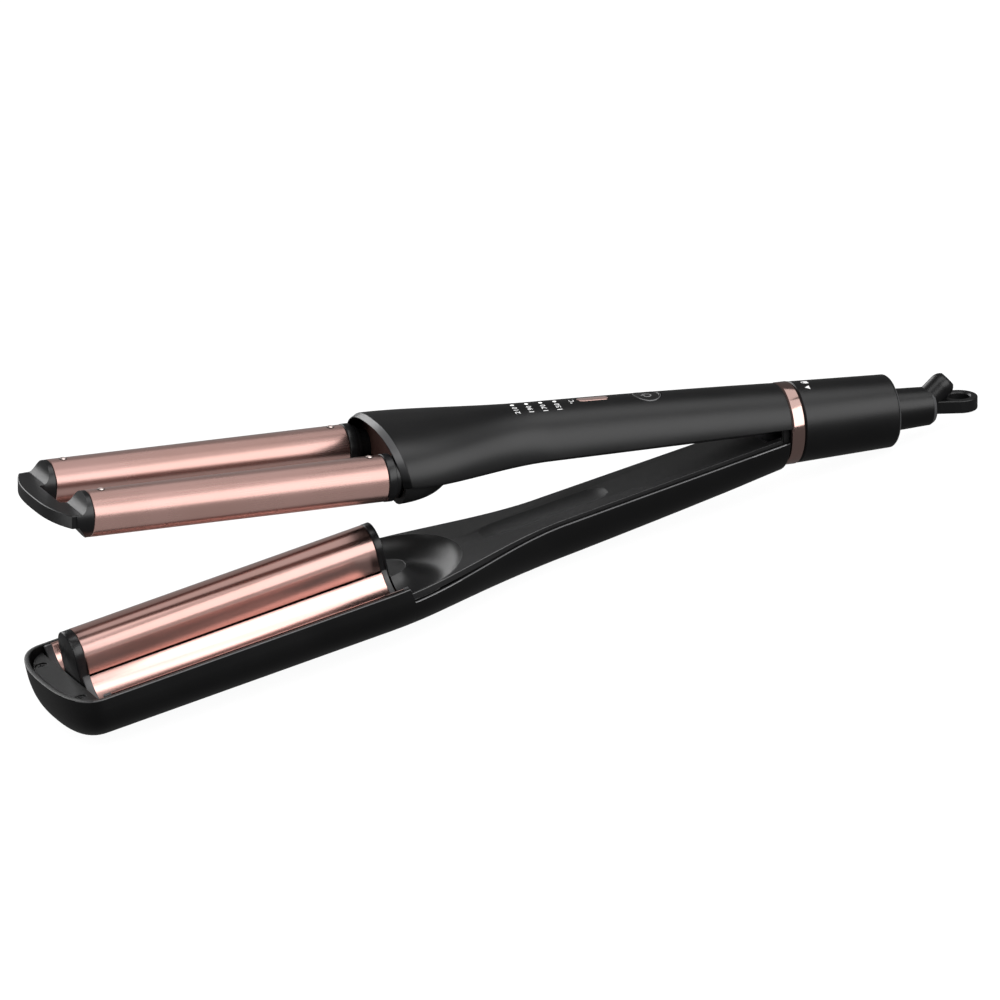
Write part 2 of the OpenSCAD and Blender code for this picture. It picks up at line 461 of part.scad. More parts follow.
module lower_harness() color([0.8, 0.1, 0.1]) arm_lower() {
    wire([[-182, -3, -9.6], [-172, -3.4, -11.6], [-160, -3.4, -14.2], [-140, -3.4, -14.6], [-110, -3.4, -14.2], [-80, -3.4, -13.4], [-45, -2.6, -10.4], [-20, -2.6, -10], [-7.5, -2.6, -9.2]], 0.8);
    wire([[-182, 3, -9.6], [-172, 3.4, -11.6], [-160, 3.4, -14.2], [-140, 3.4, -14.6], [-110, 3.4, -14.2], [-80, 3.4, -13.4], [-45, 2.6, -10.4], [-20, 2.6, -10], [-7.5, 2.6, -9.2]], 0.8);
}

upper_shell();
upper_inner_cover();
mouth_block();
barrel_near();
barrel_far();
barrel_collars();
barrel_rivets();
heater_clamps();
barrel_heaters();
tip_bridge();
control_board();
tact_switches();
status_leds();
led_light_pipes();
thermal_fuse();
barrel_thermistors();
upper_harness();
hinge_frame();
hinge_pin();
pin_clips();
frame_screws();
trim_ring();
brush_carrier();
brush_contacts();
hinge_spring();
lock_sleeve();
swivel_gland();
slip_rings();
swivel_clip();
power_button();
temperature_key();
lower_shell();
lower_inner_cover();
hinge_knuckle();
knuckle_screws();
tip_tray();
tip_screws();
trough_plate();
trough_tip_trims();
trough_rear_trims();
centre_barrel();
centre_tip_cap();
centre_rear_ring();
centre_heater();
centre_clamp();
trough_heaters();
heat_shield();
trough_thermistor();
lower_harness();
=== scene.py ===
import bpy, bmesh, math
import numpy as np
from mathutils import Vector, Matrix


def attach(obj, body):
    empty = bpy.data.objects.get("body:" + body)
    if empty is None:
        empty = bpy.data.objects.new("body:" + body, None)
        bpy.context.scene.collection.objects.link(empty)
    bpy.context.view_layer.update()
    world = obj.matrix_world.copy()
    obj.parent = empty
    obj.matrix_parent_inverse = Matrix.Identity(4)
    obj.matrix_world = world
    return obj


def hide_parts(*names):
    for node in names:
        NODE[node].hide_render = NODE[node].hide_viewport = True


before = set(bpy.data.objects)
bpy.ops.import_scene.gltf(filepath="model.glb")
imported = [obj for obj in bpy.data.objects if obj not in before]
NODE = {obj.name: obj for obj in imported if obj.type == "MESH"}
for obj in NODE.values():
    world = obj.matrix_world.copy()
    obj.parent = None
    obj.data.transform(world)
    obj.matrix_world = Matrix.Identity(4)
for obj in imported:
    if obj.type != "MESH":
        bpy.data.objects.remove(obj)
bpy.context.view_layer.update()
scene = bpy.context.scene
pi = math.pi

# ---------------------------------------------------------------- placement
# Everything is modelled in millimetres in its arm's own frame, as the part is.
LIFT, SHIFT, HINGE = 22.13, 119.064, 4.3
LIE, OPEN = math.radians(0.666), math.radians(12.96)


def _rot(b, x, y, z):
    return x * math.cos(b) + z * math.sin(b), y, -x * math.sin(b) + z * math.cos(b)


def in_lower(p):
    x, y, z = _rot(-LIE, *p)
    return Vector(((x + SHIFT) / 1000, y / 1000, (z + LIFT) / 1000))


def in_upper(p):
    x, y, z = _rot(OPEN - LIE, p[0] - HINGE, p[1], p[2])
    return Vector(((x + SHIFT) / 1000, y / 1000, (z + LIFT) / 1000))


# ---------------------------------------------------------------- section laws
BARREL_R, WALL, BY, BZ, CZ, TROUGH = 9.0, 1.2, 20.4, 4.24, 9.9, 11.0
UB0, UB1, LB0, LB1 = -291.0, -171.7, -297.3, -175.6
MOUTH_W, BOAT_W, BOAT_D = 31.0, 35.7, 18.6
KEY_X, POWER_X, TRAY_X, TRAY_Y = -77.4, -55.2, -306.3, 20.9
LED_X = [-110.3 + 5.77 * i for i in range(4)]


def ss(t):
    u = min(1.0, max(0.0, t))
    return u * u * (3 - 2 * u)


def uw(x):
    b = 15.6 - 0.0147 * x
    return b + (MOUTH_W - b) * ss((-x - 100) / 62)


def uh(x):
    return 15.7 - 0.0545 * x - 0.000135 * x * x


def un(x):
    return 2 + 0.4 * ss((-x - 100) / 62)


def lw0(x):
    b = 15.6 + 0.0147 * (-x - 4.3)
    return b + (BOAT_W - b) * ss((-x - 102) / 80)


def lw(x):
    return lw0(x) * (max(0.0, 1 - min(1.0, (-x - 300.5) / 13.55) ** 2.43) ** 0.4115 if x < -300.5 else 1)


def ld0(x):
    s = -x - 4.3
    q = 15.7 + 0.0545 * s - 0.000135 * s * s
    b = ss((-x - 100) / 60)
    return q * (1 - b) + (BOAT_D + 0.3) * b


def ld(x):
    return ld0(x) * (max(0.0, 1 - min(1.0, (-x - 298.3) / 15.95) ** 2.7) ** 0.3704 if x < -298.3 else 1)


def ln(x):
    return 2 + 0.5 * ss((-x - 100) / 70)


def lrim(x):
    return 2.7 if x < -173.5 else -1.6 - 1.6 * ss((-x - 100) / 70)


def mouth_lean(x):
    return -0.2 * (1 - ss((x + 167.3) / 45))


def top_z(x, y):
    """height of the upper housing's surface at x, y"""
    w, h, n = uw(x), uh(x), un(x)
    return h * max(0.0, 1 - (abs(y) / w) ** n) ** (1 / n)


# ---------------------------------------------------------------- mesh helpers
def raw(name, verts, faces, place, smooth=32.0, merge=1e-7):
    me = bpy.data.meshes.new(name)
    me.from_pydata([tuple(place(v)) for v in verts], [], faces)
    bm = bmesh.new()
    bm.from_mesh(me)
    bmesh.ops.remove_doubles(bm, verts=bm.verts, dist=merge)
    bmesh.ops.dissolve_degenerate(bm, edges=bm.edges, dist=merge)
    bmesh.ops.recalc_face_normals(bm, faces=bm.faces)
    bm.to_mesh(me)
    bm.free()
    ob = bpy.data.objects.new(name, me)
    scene.collection.objects.link(ob)
    finish_shading(ob, smooth)
    return ob


def finish_shading(ob, smooth=32.0):
    me = ob.data
    me.polygons.foreach_set("use_smooth", [True] * len(me.polygons))
    me.set_sharp_from_angle(angle=math.radians(smooth))
    me.update()


def apply_mods(ob):
    dg = bpy.context.evaluated_depsgraph_get()
    me = bpy.data.meshes.new_from_object(ob.evaluated_get(dg), preserve_all_data_layers=True, depsgraph=dg)
    old = ob.data
    ob.modifiers.clear()
    ob.data = me
    bpy.data.meshes.remove(old)
    return ob


def boolean(ob, tool, op="DIFFERENCE", smooth=32.0, keep=False):
    m = ob.modifiers.new("b", "BOOLEAN")
    m.operation, m.solver, m.object = op, "EXACT", tool
    bpy.context.view_layer.update()
    apply_mods(ob)
    if not keep:
        bpy.data.objects.remove(tool)
    bm = bmesh.new()
    bm.from_mesh(ob.data)
    bmesh.ops.remove_doubles(bm, verts=bm.verts, dist=2e-7)
    bmesh.ops.dissolve_degenerate(bm, edges=bm.edges, dist=2e-7)
    bm.to_mesh(ob.data)
    bm.free()
    finish_shading(ob, smooth)
    return ob


def back_lower(p):
    return _rot(LIE, p[0] * 1000 - SHIFT, p[1] * 1000, p[2] * 1000 - LIFT)


def back_upper(p):
    x, y, z = _rot(LIE - OPEN, p[0] * 1000 - SHIFT, p[1] * 1000, p[2] * 1000 - LIFT)
    return x + HINGE, y, z


def mark(ob, key, arm, test):
    """faces whose middle c and normal n (in the arm's frame) pass the test wear another material"""
    me = ob.data
    me.materials.append(M[key])
    slot = len(me.materials) - 1
    b = LIE if arm == "l" else LIE - OPEN
    pt = back_lower if arm == "l" else back_upper
    for q in me.polygons:
        if test(pt(q.center), _rot(b, *q.normal)):
            q.material_index = slot


def weighted(ob):
    m = ob.modifiers.new("w", "WEIGHTED_NORMAL")
    m.keep_sharp, m.weight = True, 60
    return ob


def loft(rings, cap0=True, cap1=True, closed=True):
    """rings: equal-length lists of points; returns verts, faces of the skin between them"""
    k = len(rings[0])
    verts = [p for r in rings for p in r]
    faces = []
    for j in range(len(rings) - 1):
        for i in range(k if closed else k - 1):
            a, b = j * k + i, j * k + (i + 1) % k
            faces.append((a, b, b + k, a + k))
    if cap0:
        faces.append(tuple(range(k - 1, -1, -1)))
    if cap1:
        o = (len(rings) - 1) * k
        faces.append(tuple(o + i for i in range(k)))
    return verts, faces


def fillet(pts, r, seg=4, closed=True):
    """round the corners of a polygon; r is one radius or one per corner"""
    n, out = len(pts), []
    for i, p in enumerate(pts):
        ri = r[i] if isinstance(r, (list, tuple)) else r
        if ri <= 0 or (not closed and i in (0, n - 1)):
            out.append(tuple(p))
            continue
        a, b, c = (np.array(pts[i - 1], float), np.array(p, float), np.array(pts[(i + 1) % n], float))
        u, v = a - b, c - b
        lu, lv = np.linalg.norm(u), np.linalg.norm(v)
        u, v = u / lu, v / lv
        cosang = float(np.clip(u @ v, -1, 1))
        half = math.acos(cosang) / 2
        if half > pi / 2 - 0.02 or half < 0.01:
            out.append(tuple(p))
            continue
        d = min(ri / math.tan(half), lu * 0.49, lv * 0.49)
        rr = d * math.tan(half)
        m = (u + v) / np.linalg.norm(u + v)
        o = b + m * rr / math.sin(half)
        s, e = b + u * d - o, b + v * d - o
        sw = math.acos(float(np.clip((s @ e) / (np.linalg.norm(s) * np.linalg.norm(e)), -1, 1)))
        for q in range(seg + 1):
            t = q / seg
            if sw < 1e-4:
                w = s
            else:
                w = (math.sin((1 - t) * sw) * s + math.sin(t * sw) * e) / math.sin(sw)
            out.append(tuple(o + w))
    return out


def lathe(profile, seg=128, y=0.0, z=0.0):
    """closed profile of (x, r) turned about the X axis through (y, z)"""
    rings = []
    for i in range(seg):
        a = 2 * pi * i / seg
        rings.append([(x, y + r * math.sin(a), z + r * math.cos(a)) for x, r in profile])
    rings.append(rings[0])
    return loft(rings, False, False, True)


def turned(name, profile, place, y=0.0, z=0.0, seg=128, smooth=32.0):
    v, f = lathe(profile, seg, y, z)
    return raw(name, v, f, place, smooth)


def inset2(pts, d):
    """shift a closed outline inward by d along its vertex normals"""
    p = np.array(pts, float)
    a, b = np.roll(p, 1, 0), np.roll(p, -1, 0)
    e1, e2 = p - a, b - p
    e1 /= np.maximum(np.linalg.norm(e1, axis=1, keepdims=True), 1e-9)
    e2 /= np.maximum(np.linalg.norm(e2, axis=1, keepdims=True), 1e-9)
    n1, n2 = np.stack([-e1[:, 1], e1[:, 0]], 1), np.stack([-e2[:, 1], e2[:, 0]], 1)
    m = n1 + n2
    m /= np.maximum(np.linalg.norm(m, axis=1, keepdims=True), 1e-9)
    c = np.maximum((m * n1).sum(1, keepdims=True), 0.4)
    area = 0.5 * np.sum(p[:, 0] * b[:, 1] - b[:, 0] * p[:, 1])
    return p + m / c * d * (1 if area > 0 else -1)


def slab(outline, h0, h1, b0, b1, to3, seg=3):
    """outline extruded from h0 to h1 with rounded edges b0 and b1; to3(u, v, h) gives the point"""
    rings = []
    for q in range(seg + 1):
        a = pi / 2 * q / seg
        if b0 > 0 or q == seg:
            o = inset2(outline, b0 * (1 - math.sin(a)))
            rings.append([to3(u, v, h0 + b0 * (1 - math.cos(a))) for u, v in o])
    for q in range(seg + 1):
        a = pi / 2 * q / seg
        if b1 > 0 or q == 0:
            o = inset2(outline, b1 * (1 - math.cos(a)))
            rings.append([to3(u, v, h1 - b1 * (1 - math.sin(a))) for u, v in o])
    return loft(rings)


def strip(path, t0, t1):
    """closed outline of an open path thickened by t0 to its left and t1 to its right"""
    p = np.array(path, float)
    d = np.gradient(p, axis=0)
    d /= np.linalg.norm(d, axis=1, keepdims=True)
    n = np.stack([-d[:, 1], d[:, 0]], 1)
    return [tuple(q) for q in p + n * t0] + [tuple(q) for q in (p - n * t1)[::-1]]


def join(name, parts, place, smooth=32.0):
    v, f = [], []
    for pv, pf in parts:
        o = len(v)
        v += list(pv)
        f += [tuple(i + o for i in q) for q in pf]
    return raw(name, v, f, place, smooth)


def arc(cx, cy, r, a0, a1, n):
    return [(cx + r * math.cos(a0 + (a1 - a0) * i / n), cy + r * math.sin(a0 + (a1 - a0) * i / n)) for i in range(n + 1)]


def oblong(l, w, n=16):
    """outline of a slot of length l and width w, centred"""
    c = (l - w) / 2
    return arc(c, 0, w / 2, -pi / 2, pi / 2, n) + arc(-c, 0, w / 2, pi / 2, 3 * pi / 2, n)


# ---------------------------------------------------------------- materials
def new_mat(name):
    m = bpy.data.materials.new(name)
    m.use_nodes = True
    nt = m.node_tree
    nt.nodes.clear()
    out = nt.nodes.new("ShaderNodeOutputMaterial")
    b = nt.nodes.new("ShaderNodeBsdfPrincipled")
    nt.links.new(b.outputs[0], out.inputs[0])
    return m, nt, b


def arm_coords(nt, arm, scale):
    """object coordinates turned into an arm's own frame, then scaled"""
    tc = nt.nodes.new("ShaderNodeTexCoord")
    mp = nt.nodes.new("ShaderNodeMapping")
    mp.inputs["Rotation"].default_value = (0, {"u": -(OPEN - LIE), "l": LIE, None: 0}[arm], 0)
    nt.links.new(tc.outputs["Object"], mp.inputs[0])
    m2 = nt.nodes.new("ShaderNodeMapping")
    m2.inputs["Scale"].default_value = scale
    nt.links.new(mp.outputs[0], m2.inputs[0])
    return m2.outputs[0]


def noise(nt, vec, scale, detail=3.0, rough=0.55):
    n = nt.nodes.new("ShaderNodeTexNoise")
    n.inputs["Scale"].default_value = scale
    n.inputs["Detail"].default_value = detail
    n.inputs["Roughness"].default_value = rough
    nt.links.new(vec, n.inputs["Vector"])
    return n.outputs["Fac"]


def ramp(nt, fac, lo, hi, a=0.3, b=0.7):
    r = nt.nodes.new("ShaderNodeMapRange")
    r.inputs["From Min"].default_value, r.inputs["From Max"].default_value = a, b
    r.inputs["To Min"].default_value, r.inputs["To Max"].default_value = lo, hi
    nt.links.new(fac, r.inputs["Value"])
    return r.outputs[0]


def mix_col(nt, fac, a, b):
    m = nt.nodes.new("ShaderNodeMix")
    m.data_type = "RGBA"
    m.inputs[6].default_value, m.inputs[7].default_value = (*a, 1), (*b, 1)
    nt.links.new(fac, m.inputs[0])
    return m.outputs[2]


def add_bump(nt, bsdf, fac, strength, dist):
    b = nt.nodes.new("ShaderNodeBump")
    b.inputs["Strength"].default_value, b.inputs["Distance"].default_value = strength, dist
    nt.links.new(fac, b.inputs["Height"])
    nt.links.new(b.outputs[0], bsdf.inputs["Normal"])


def plastic(name, arm, dark, light, r0, r1, grain=0.25, spec=0.5, size=2600.0):
    """moulded plastic: very fine spark-eroded grain, slow variation of tone and gloss"""
    m, nt, b = new_mat(name)
    v = arm_coords(nt, arm, (1, 1, 1))
    slow = noise(nt, v, 38, 3)
    fine = noise(nt, v, size, 2)
    nt.links.new(mix_col(nt, ramp(nt, slow, 0, 1), dark, light), b.inputs["Base Color"])
    mul = nt.nodes.new("ShaderNodeMath")
    mul.operation = "ADD"
    nt.links.new(ramp(nt, slow, r0, r1), mul.inputs[0])
    nt.links.new(ramp(nt, fine, -0.03, 0.03), mul.inputs[1])
    nt.links.new(mul.outputs[0], b.inputs["Roughness"])
    b.inputs["Specular IOR Level"].default_value = spec
    add_bump(nt, b, fine, grain, 0.00002)
    return m


def metal(name, arm, dark, light, r0, r1, lines=0.004, long=7.0, cross=3000.0):
    """anodised metal with faint drawn lines along the arm and a soft clouding"""
    m, nt, b = new_mat(name)
    v = arm_coords(nt, arm, (1, 1, 1))
    vl = arm_coords(nt, arm, (long, cross, cross))
    slow = noise(nt, v, 30, 2)
    drawn = noise(nt, vl, 1.0, 2)
    nt.links.new(mix_col(nt, ramp(nt, slow, 0, 1), dark, light), b.inputs["Base Color"])
    add = nt.nodes.new("ShaderNodeMath")
    add.operation = "ADD"
    nt.links.new(ramp(nt, slow, r0, r1), add.inputs[0])
    nt.links.new(ramp(nt, drawn, -0.006, 0.006), add.inputs[1])
    nt.links.new(add.outputs[0], b.inputs["Roughness"])
    b.inputs["Metallic"].default_value = 1.0
    add_bump(nt, b, drawn, lines, 0.00002)
    return m


ROSE_D, ROSE_L = (0.395, 0.243, 0.215), (0.425, 0.266, 0.240)
M = {
    "rose_u": metal("rose_metal_upper", "u", ROSE_D, ROSE_L, 0.26, 0.29),
    "rose_l": metal("rose_metal_lower", "l", ROSE_D, ROSE_L, 0.19, 0.22),
    "rose_trim": metal("rose_trim_polished", "u", (0.50, 0.335, 0.30), (0.53, 0.36, 0.325), 0.10, 0.13, 0.05, 4000.0, 60.0),
    "rivet": metal("rivet_polished", "u", (0.80, 0.66, 0.62), (0.86, 0.72, 0.68), 0.14, 0.18, 0.03, 900.0, 900.0),
    "shell_u": plastic("satin_black_upper", "u", (0.0036, 0.0036, 0.0038), (0.0052, 0.0052, 0.0054), 0.35, 0.39, 0.2, 0.26),
    "shell_l": plastic("satin_black_lower", "l", (0.0034, 0.0034, 0.0036), (0.0050, 0.0050, 0.0052), 0.35, 0.39, 0.2, 0.24),
    "cover": plastic("matt_black_covers", "l", (0.0075, 0.0075, 0.0078), (0.010, 0.010, 0.0103), 0.34, 0.39, 0.3, 0.26),
    "cover_u": plastic("matt_black_upper_cover", "u", (0.006, 0.006, 0.0062), (0.008, 0.008, 0.0082), 0.44, 0.50, 0.35, 0.22),
    "heat_u": plastic("black_heatproof_upper", "u", (0.0060, 0.0060, 0.0064), (0.0085, 0.0085, 0.009), 0.30, 0.34, 0.2, 0.28),
    "heat_l": plastic("black_heatproof_lower", "l", (0.0055, 0.0055, 0.006), (0.0080, 0.0080, 0.0085), 0.27, 0.31, 0.2, 0.28),
    "tray": plastic("dark_grey_tray", "l", (0.0055, 0.0055, 0.0058), (0.0080, 0.0080, 0.0083), 0.48, 0.54, 0.4, 0.16),
    "trim": plastic("grey_trough_trims", "l", (0.050, 0.050, 0.052), (0.066, 0.066, 0.068), 0.38, 0.44, 0.3, 0.3),
    "brown": plastic("brown_insulator", "u", (0.060, 0.030, 0.025), (0.078, 0.040, 0.033), 0.45, 0.52, 0.4, 0.2),
    "button": plastic("gloss_black_button", "u", (0.0065, 0.0065, 0.0068), (0.0085, 0.0085, 0.0088), 0.20, 0.25, 0.1, 0.35),
    # lighter grey for bevels and rims of the upper parts: painted highlight
    "edge_hl_u": plastic("painted_highlight_edge_upper", "u", (0.050, 0.050, 0.052), (0.062, 0.062, 0.064), 0.28, 0.33, 0.1, 0.6),
    # lighter grey on the lower shell's rim bevels: painted highlight
    "edge_hl_l": plastic("painted_highlight_edge_lower", "l", (0.066, 0.066, 0.068), (0.078, 0.078, 0.080), 0.28, 0.33, 0.1, 0.55),
    # lighter grey on the cover's edge chamfer and bowl rim: painted highlight
    "edge_hl_c": plastic("painted_highlight_soft_edge_lower", "l", (0.026, 0.026, 0.0265), (0.034, 0.034, 0.0345), 0.34, 0.38, 0.1, 0.3),
    # near black, dull rim top faces: painted shade of the gap between shell rim and cover
    "groove_shade": plastic("painted_shade_groove", "l", (0.0012, 0.0012, 0.0013), (0.0020, 0.0020, 0.0021), 0.60, 0.66, 0.2, 0.06),
    # lighter grey on the nose's top bevel: painted highlight
    "edge_hl_n": plastic("painted_highlight_edge_nose", "u", (0.014, 0.014, 0.0145), (0.019, 0.019, 0.0195), 0.30, 0.35, 0.1, 0.3),
    "sign": plastic("grey_button_sign", "u", (0.16, 0.16, 0.16), (0.20, 0.20, 0.20), 0.4, 0.46, 0.1, 0.3),
    "frame_dark": plastic("black_glass_filled", None, (0.010, 0.010, 0.0105), (0.016, 0.016, 0.0165), 0.42, 0.5, 0.5, 0.25, 1400.0),
    "frame": plastic("grey_glass_filled", None, (0.05, 0.05, 0.054), (0.075, 0.075, 0.08), 0.5, 0.6, 0.8, 0.5, 1400.0),
    "print": plastic("light_grey_print", "u", (0.62, 0.62, 0.62), (0.70, 0.70, 0.70), 0.4, 0.5, 0.2),
    "red": plastic("red_wire", None, (0.45, 0.03, 0.025), (0.55, 0.05, 0.04), 0.45, 0.55),
    "ceramic": plastic("heater_ceramic", None, (0.62, 0.58, 0.50), (0.75, 0.72, 0.66), 0.6, 0.75, 0.8, 0.5, 900.0),
    "mica": plastic("mica_sheet", None, (0.42, 0.36, 0.24), (0.58, 0.52, 0.38), 0.3, 0.45, 0.6, 0.5, 500.0),
    "board": plastic("green_board", None, (0.012, 0.10, 0.035), (0.02, 0.15, 0.05), 0.3, 0.4, 0.3),
    "bead": plastic("amber_bead", None, (0.30, 0.10, 0.03), (0.42, 0.15, 0.05), 0.15, 0.22, 0.1),
    "steel": metal("drawn_steel", None, (0.42, 0.42, 0.44), (0.55, 0.55, 0.57), 0.26, 0.34, 0.25),
    "alu": metal("extruded_aluminium", None, (0.55, 0.55, 0.56), (0.66, 0.66, 0.67), 0.3, 0.4, 0.4),
    "brass": metal("contact_brass", None, (0.60, 0.42, 0.16), (0.70, 0.50, 0.22), 0.2, 0.3, 0.2),
    "screw": metal("blackened_screw", None, (0.005, 0.005, 0.0052), (0.009, 0.009, 0.0093), 0.44, 0.52, 0.2),
}


def painted_band_mat():
    m, nt, b = new_mat("mouth_band_painted_highlight_and_shade")
    v = arm_coords(nt, "u", (1, 1, 1))
    sep = nt.nodes.new("ShaderNodeSeparateXYZ")
    nt.links.new(v, sep.inputs[0])
    fine = noise(nt, v, 2600, 2)
    # height in the arm's frame is this coordinate less 47 mm
    t = ramp(nt, sep.outputs[2], 0, 1, 0.0515, 0.0640)
    # the base colour is painted light: near black low on the band as painted shade, light grey at its top as painted
    # highlight
    nt.links.new(mix_col(nt, t, (0.0030, 0.0030, 0.0032), (0.062, 0.062, 0.064)), b.inputs["Base Color"])
    nt.links.new(ramp(nt, fine, 0.30, 0.35), b.inputs["Roughness"])
    nt.links.new(ramp(nt, t, 0.12, 0.6, 0.0, 1.0), b.inputs["Specular IOR Level"])
    add_bump(nt, b, fine, 0.1, 0.00002)
    return m


M["painted_light_band"] = painted_band_mat()


def lamp_mat():
    m, nt, b = new_mat("clear_white_light")
    v = arm_coords(nt, "u", (1, 1, 1))
    f = noise(nt, v, 900, 2)
    nt.links.new(mix_col(nt, ramp(nt, f, 0, 1), (0.80, 0.80, 0.78), (0.9, 0.9, 0.88)), b.inputs["Base Color"])
    nt.links.new(ramp(nt, f, 0.18, 0.26), b.inputs["Roughness"])
    b.inputs["Emission Color"].default_value = (1, 1, 0.97, 1)
    b.inputs["Emission Strength"].default_value = 0.55
    return m


M["lamp"] = lamp_mat()


def wear(ob, *mats):
    ob.data.materials.clear()
    for k in mats:
        ob.data.materials.append(M[k])
    return ob


def put(ob, body, nodes=(), mat=None):
    if mat:
        wear(ob, mat)
    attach(ob, body)
    if nodes:
        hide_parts(*nodes)
    return ob


for node, key in {
    "mouth_block": "brown", "heater_clamps": "alu", "barrel_heaters": "ceramic", "control_board": "board",
    "tact_switches": "frame", "status_leds": "lamp", "thermal_fuse": "steel",
    "barrel_thermistors": "bead", "upper_harness": "red", "hinge_frame": "frame_dark", "hinge_pin": "steel",
    "pin_clips": "steel", "frame_screws": "steel", "brush_carrier": "frame", "brush_contacts": "brass",
    "hinge_spring": "steel", "slip_rings": "brass", "swivel_clip": "steel", "hinge_knuckle": "frame",
    "knuckle_screws": "steel", "tip_screws": "screw", "centre_heater": "ceramic",
    "centre_clamp": "alu", "trough_heaters": "ceramic", "heat_shield": "mica", "trough_thermistor": "bead",
    "lower_harness": "red",
}.items():
    wear(NODE[node], key)
    finish_shading(NODE[node], 30)

# ---------------------------------------------------------------- upper housing
NA = 84


def half_loop(xo, wo, ho, xi, wi, hi, n, g, s, lean=0.0, f=0.35, flat=None):
    """closed C-shaped section: outer curve, rounded rim, inner curve, rounded rim.
    g is the rim height measured along s; flat cuts the outer curve's bottom"""
    def pts(w, h, e):
        ge = g + (f if g >= 0 else f)
        if h <= abs(ge) * 1.001 and ge > 0:
            h = abs(ge) * 1.001
        a0 = math.asin(min(1.0, (ge / h) ** (n / 2))) if ge > 0 else 0.0
        out = []
        for i in range(NA + 1):
            a = a0 + (pi - 2 * a0) * i / NA
            c, q = math.cos(a), math.sin(a)
            y = (1 if c > 0 else -1) * w * abs(c) ** (2 / n)
            z = h * abs(q) ** (2 / n)
            if i in (0, NA) and ge <= 0:
                z = ge
            if flat and e and z > flat - 0.5:
                z = flat - 0.5 + 0.5 * math.tanh((z - flat + 0.5) / 0.5) if z < flat + 3 else flat
            out.append((y, z))
        return out
    o, i_ = pts(wo, ho, True), pts(wi, hi, False)
    yo, yi = o[0][0], i_[0][0]
    f2 = min(f, max(0.0, (yo - yi) * 0.45))
    loop = [(xo, y, z) for y, z in o]
    k = math.sqrt(0.5)
    loop += [(xo, -(yo - f2 * (1 - k)), g + f * (1 - k)), (xo * 0.8 + xi * 0.2, -(yo - f2), g),
             (xo * 0.2 + xi * 0.8, -(yi + f2), g), (xi, -(yi + f2 * (1 - k)), g + f * (1 - k))]
    loop += [(xi, y, z) for y, z in i_[::-1]]
    loop += [(xi, yi + f2 * (1 - k), g + f * (1 - k)), (xo * 0.2 + xi * 0.8, yi + f2, g),
             (xo * 0.8 + xi * 0.2, yo - f2, g), (xo, yo - f2 * (1 - k), g + f * (1 - k))]
    return [(x + lean * z, y, s * z) for x, y, z in loop]


def upper_housing():
    spec = [(-167.3, 1.92, 1.44, 0.0), (-167.27, 1.80, 1.36, 0.0), (-167.18, 1.70, 1.29, 0.0), (-167.05, 1.61, 1.23, 0.0), (-164.75, 0.24, 0.18, 0.0),
            (-164.6, 0.16, 0.12, 0.0), (-164.4, 0.08, 0.06, 0.0), (-164.15, 0.02, 0.015, 0.0), (-163.9, 0, 0, 0)]
    xs = [s[0] for s in spec]
    dw, dh, di = {}, {}, {}
    for x, a, b, c in spec:
        dw[x], dh[x], di[x] = a, b, c
    x = -163.4
    while x < -1.6:
        xs.append(x)
        x += 1.0 if x < -96 else 1.5
    xs += [-1.45, -1.25, -1.1, -1.02]
    dw[-1.1], dh[-1.1], di[-1.1] = 0.12, 0.12, 0
    dw[-1.02], dh[-1.02], di[-1.02] = 0.3, 0.3, 0.2
    dw[-1.25], dh[-1.25] = 0.03, 0.03
    rings = []
    for x in xs:
        fl = 2.3 * ss((-x - 162) / 5.3)
        w, h = uw(x) - dw.get(x, 0), uh(x) - dh.get(x, 0)
        wi, hi = uw(x) - 2 - fl * 0.12, uh(x) - 2 + fl * 0.19
        ml = mouth_lean(x)
        rings.append(half_loop(x - 9 * ml, w, h, x - 9 * ml, wi, hi, un(x), 2.0, 1, ml))
    ob = raw("upper_housing", *loft(rings), in_upper, 28)
    # seats of the power button and of the temperature key
    v, f = slab(oblong(11.8, 11.8, 40), 10, 30, 0, 0, lambda u, w_, h: (POWER_X + u, w_, h))
    boolean(ob, raw("t", v, f, in_upper), smooth=28)
    v, f = slab(oblong(13.5, 4.5, 20), 10, 30, 0, 0, lambda u, w_, h: (KEY_X + u, w_, h))
    boolean(ob, raw("t", v, f, in_upper), smooth=28)
    put(ob, "handle", ["upper_shell"], "shell_u")
    # the mouth chamfer faces wear the painted light band: painted highlight at the top, painted shade lower down
    mark(ob, "painted_light_band", "u", lambda c, n: -167.12 < c[0] - 1.8 + 0.2 * c[2] < -164.5 and n[0] < -0.15 and abs(c[1]) > 0 and c[2] > 2.4
         and abs(c[1]) ** 2.4 / 29.6 ** 2.4 + max(0, c[2]) ** 2.4 / 19.6 ** 2.4 > 0.97)
    weighted(ob)
    return ob


upper_housing()


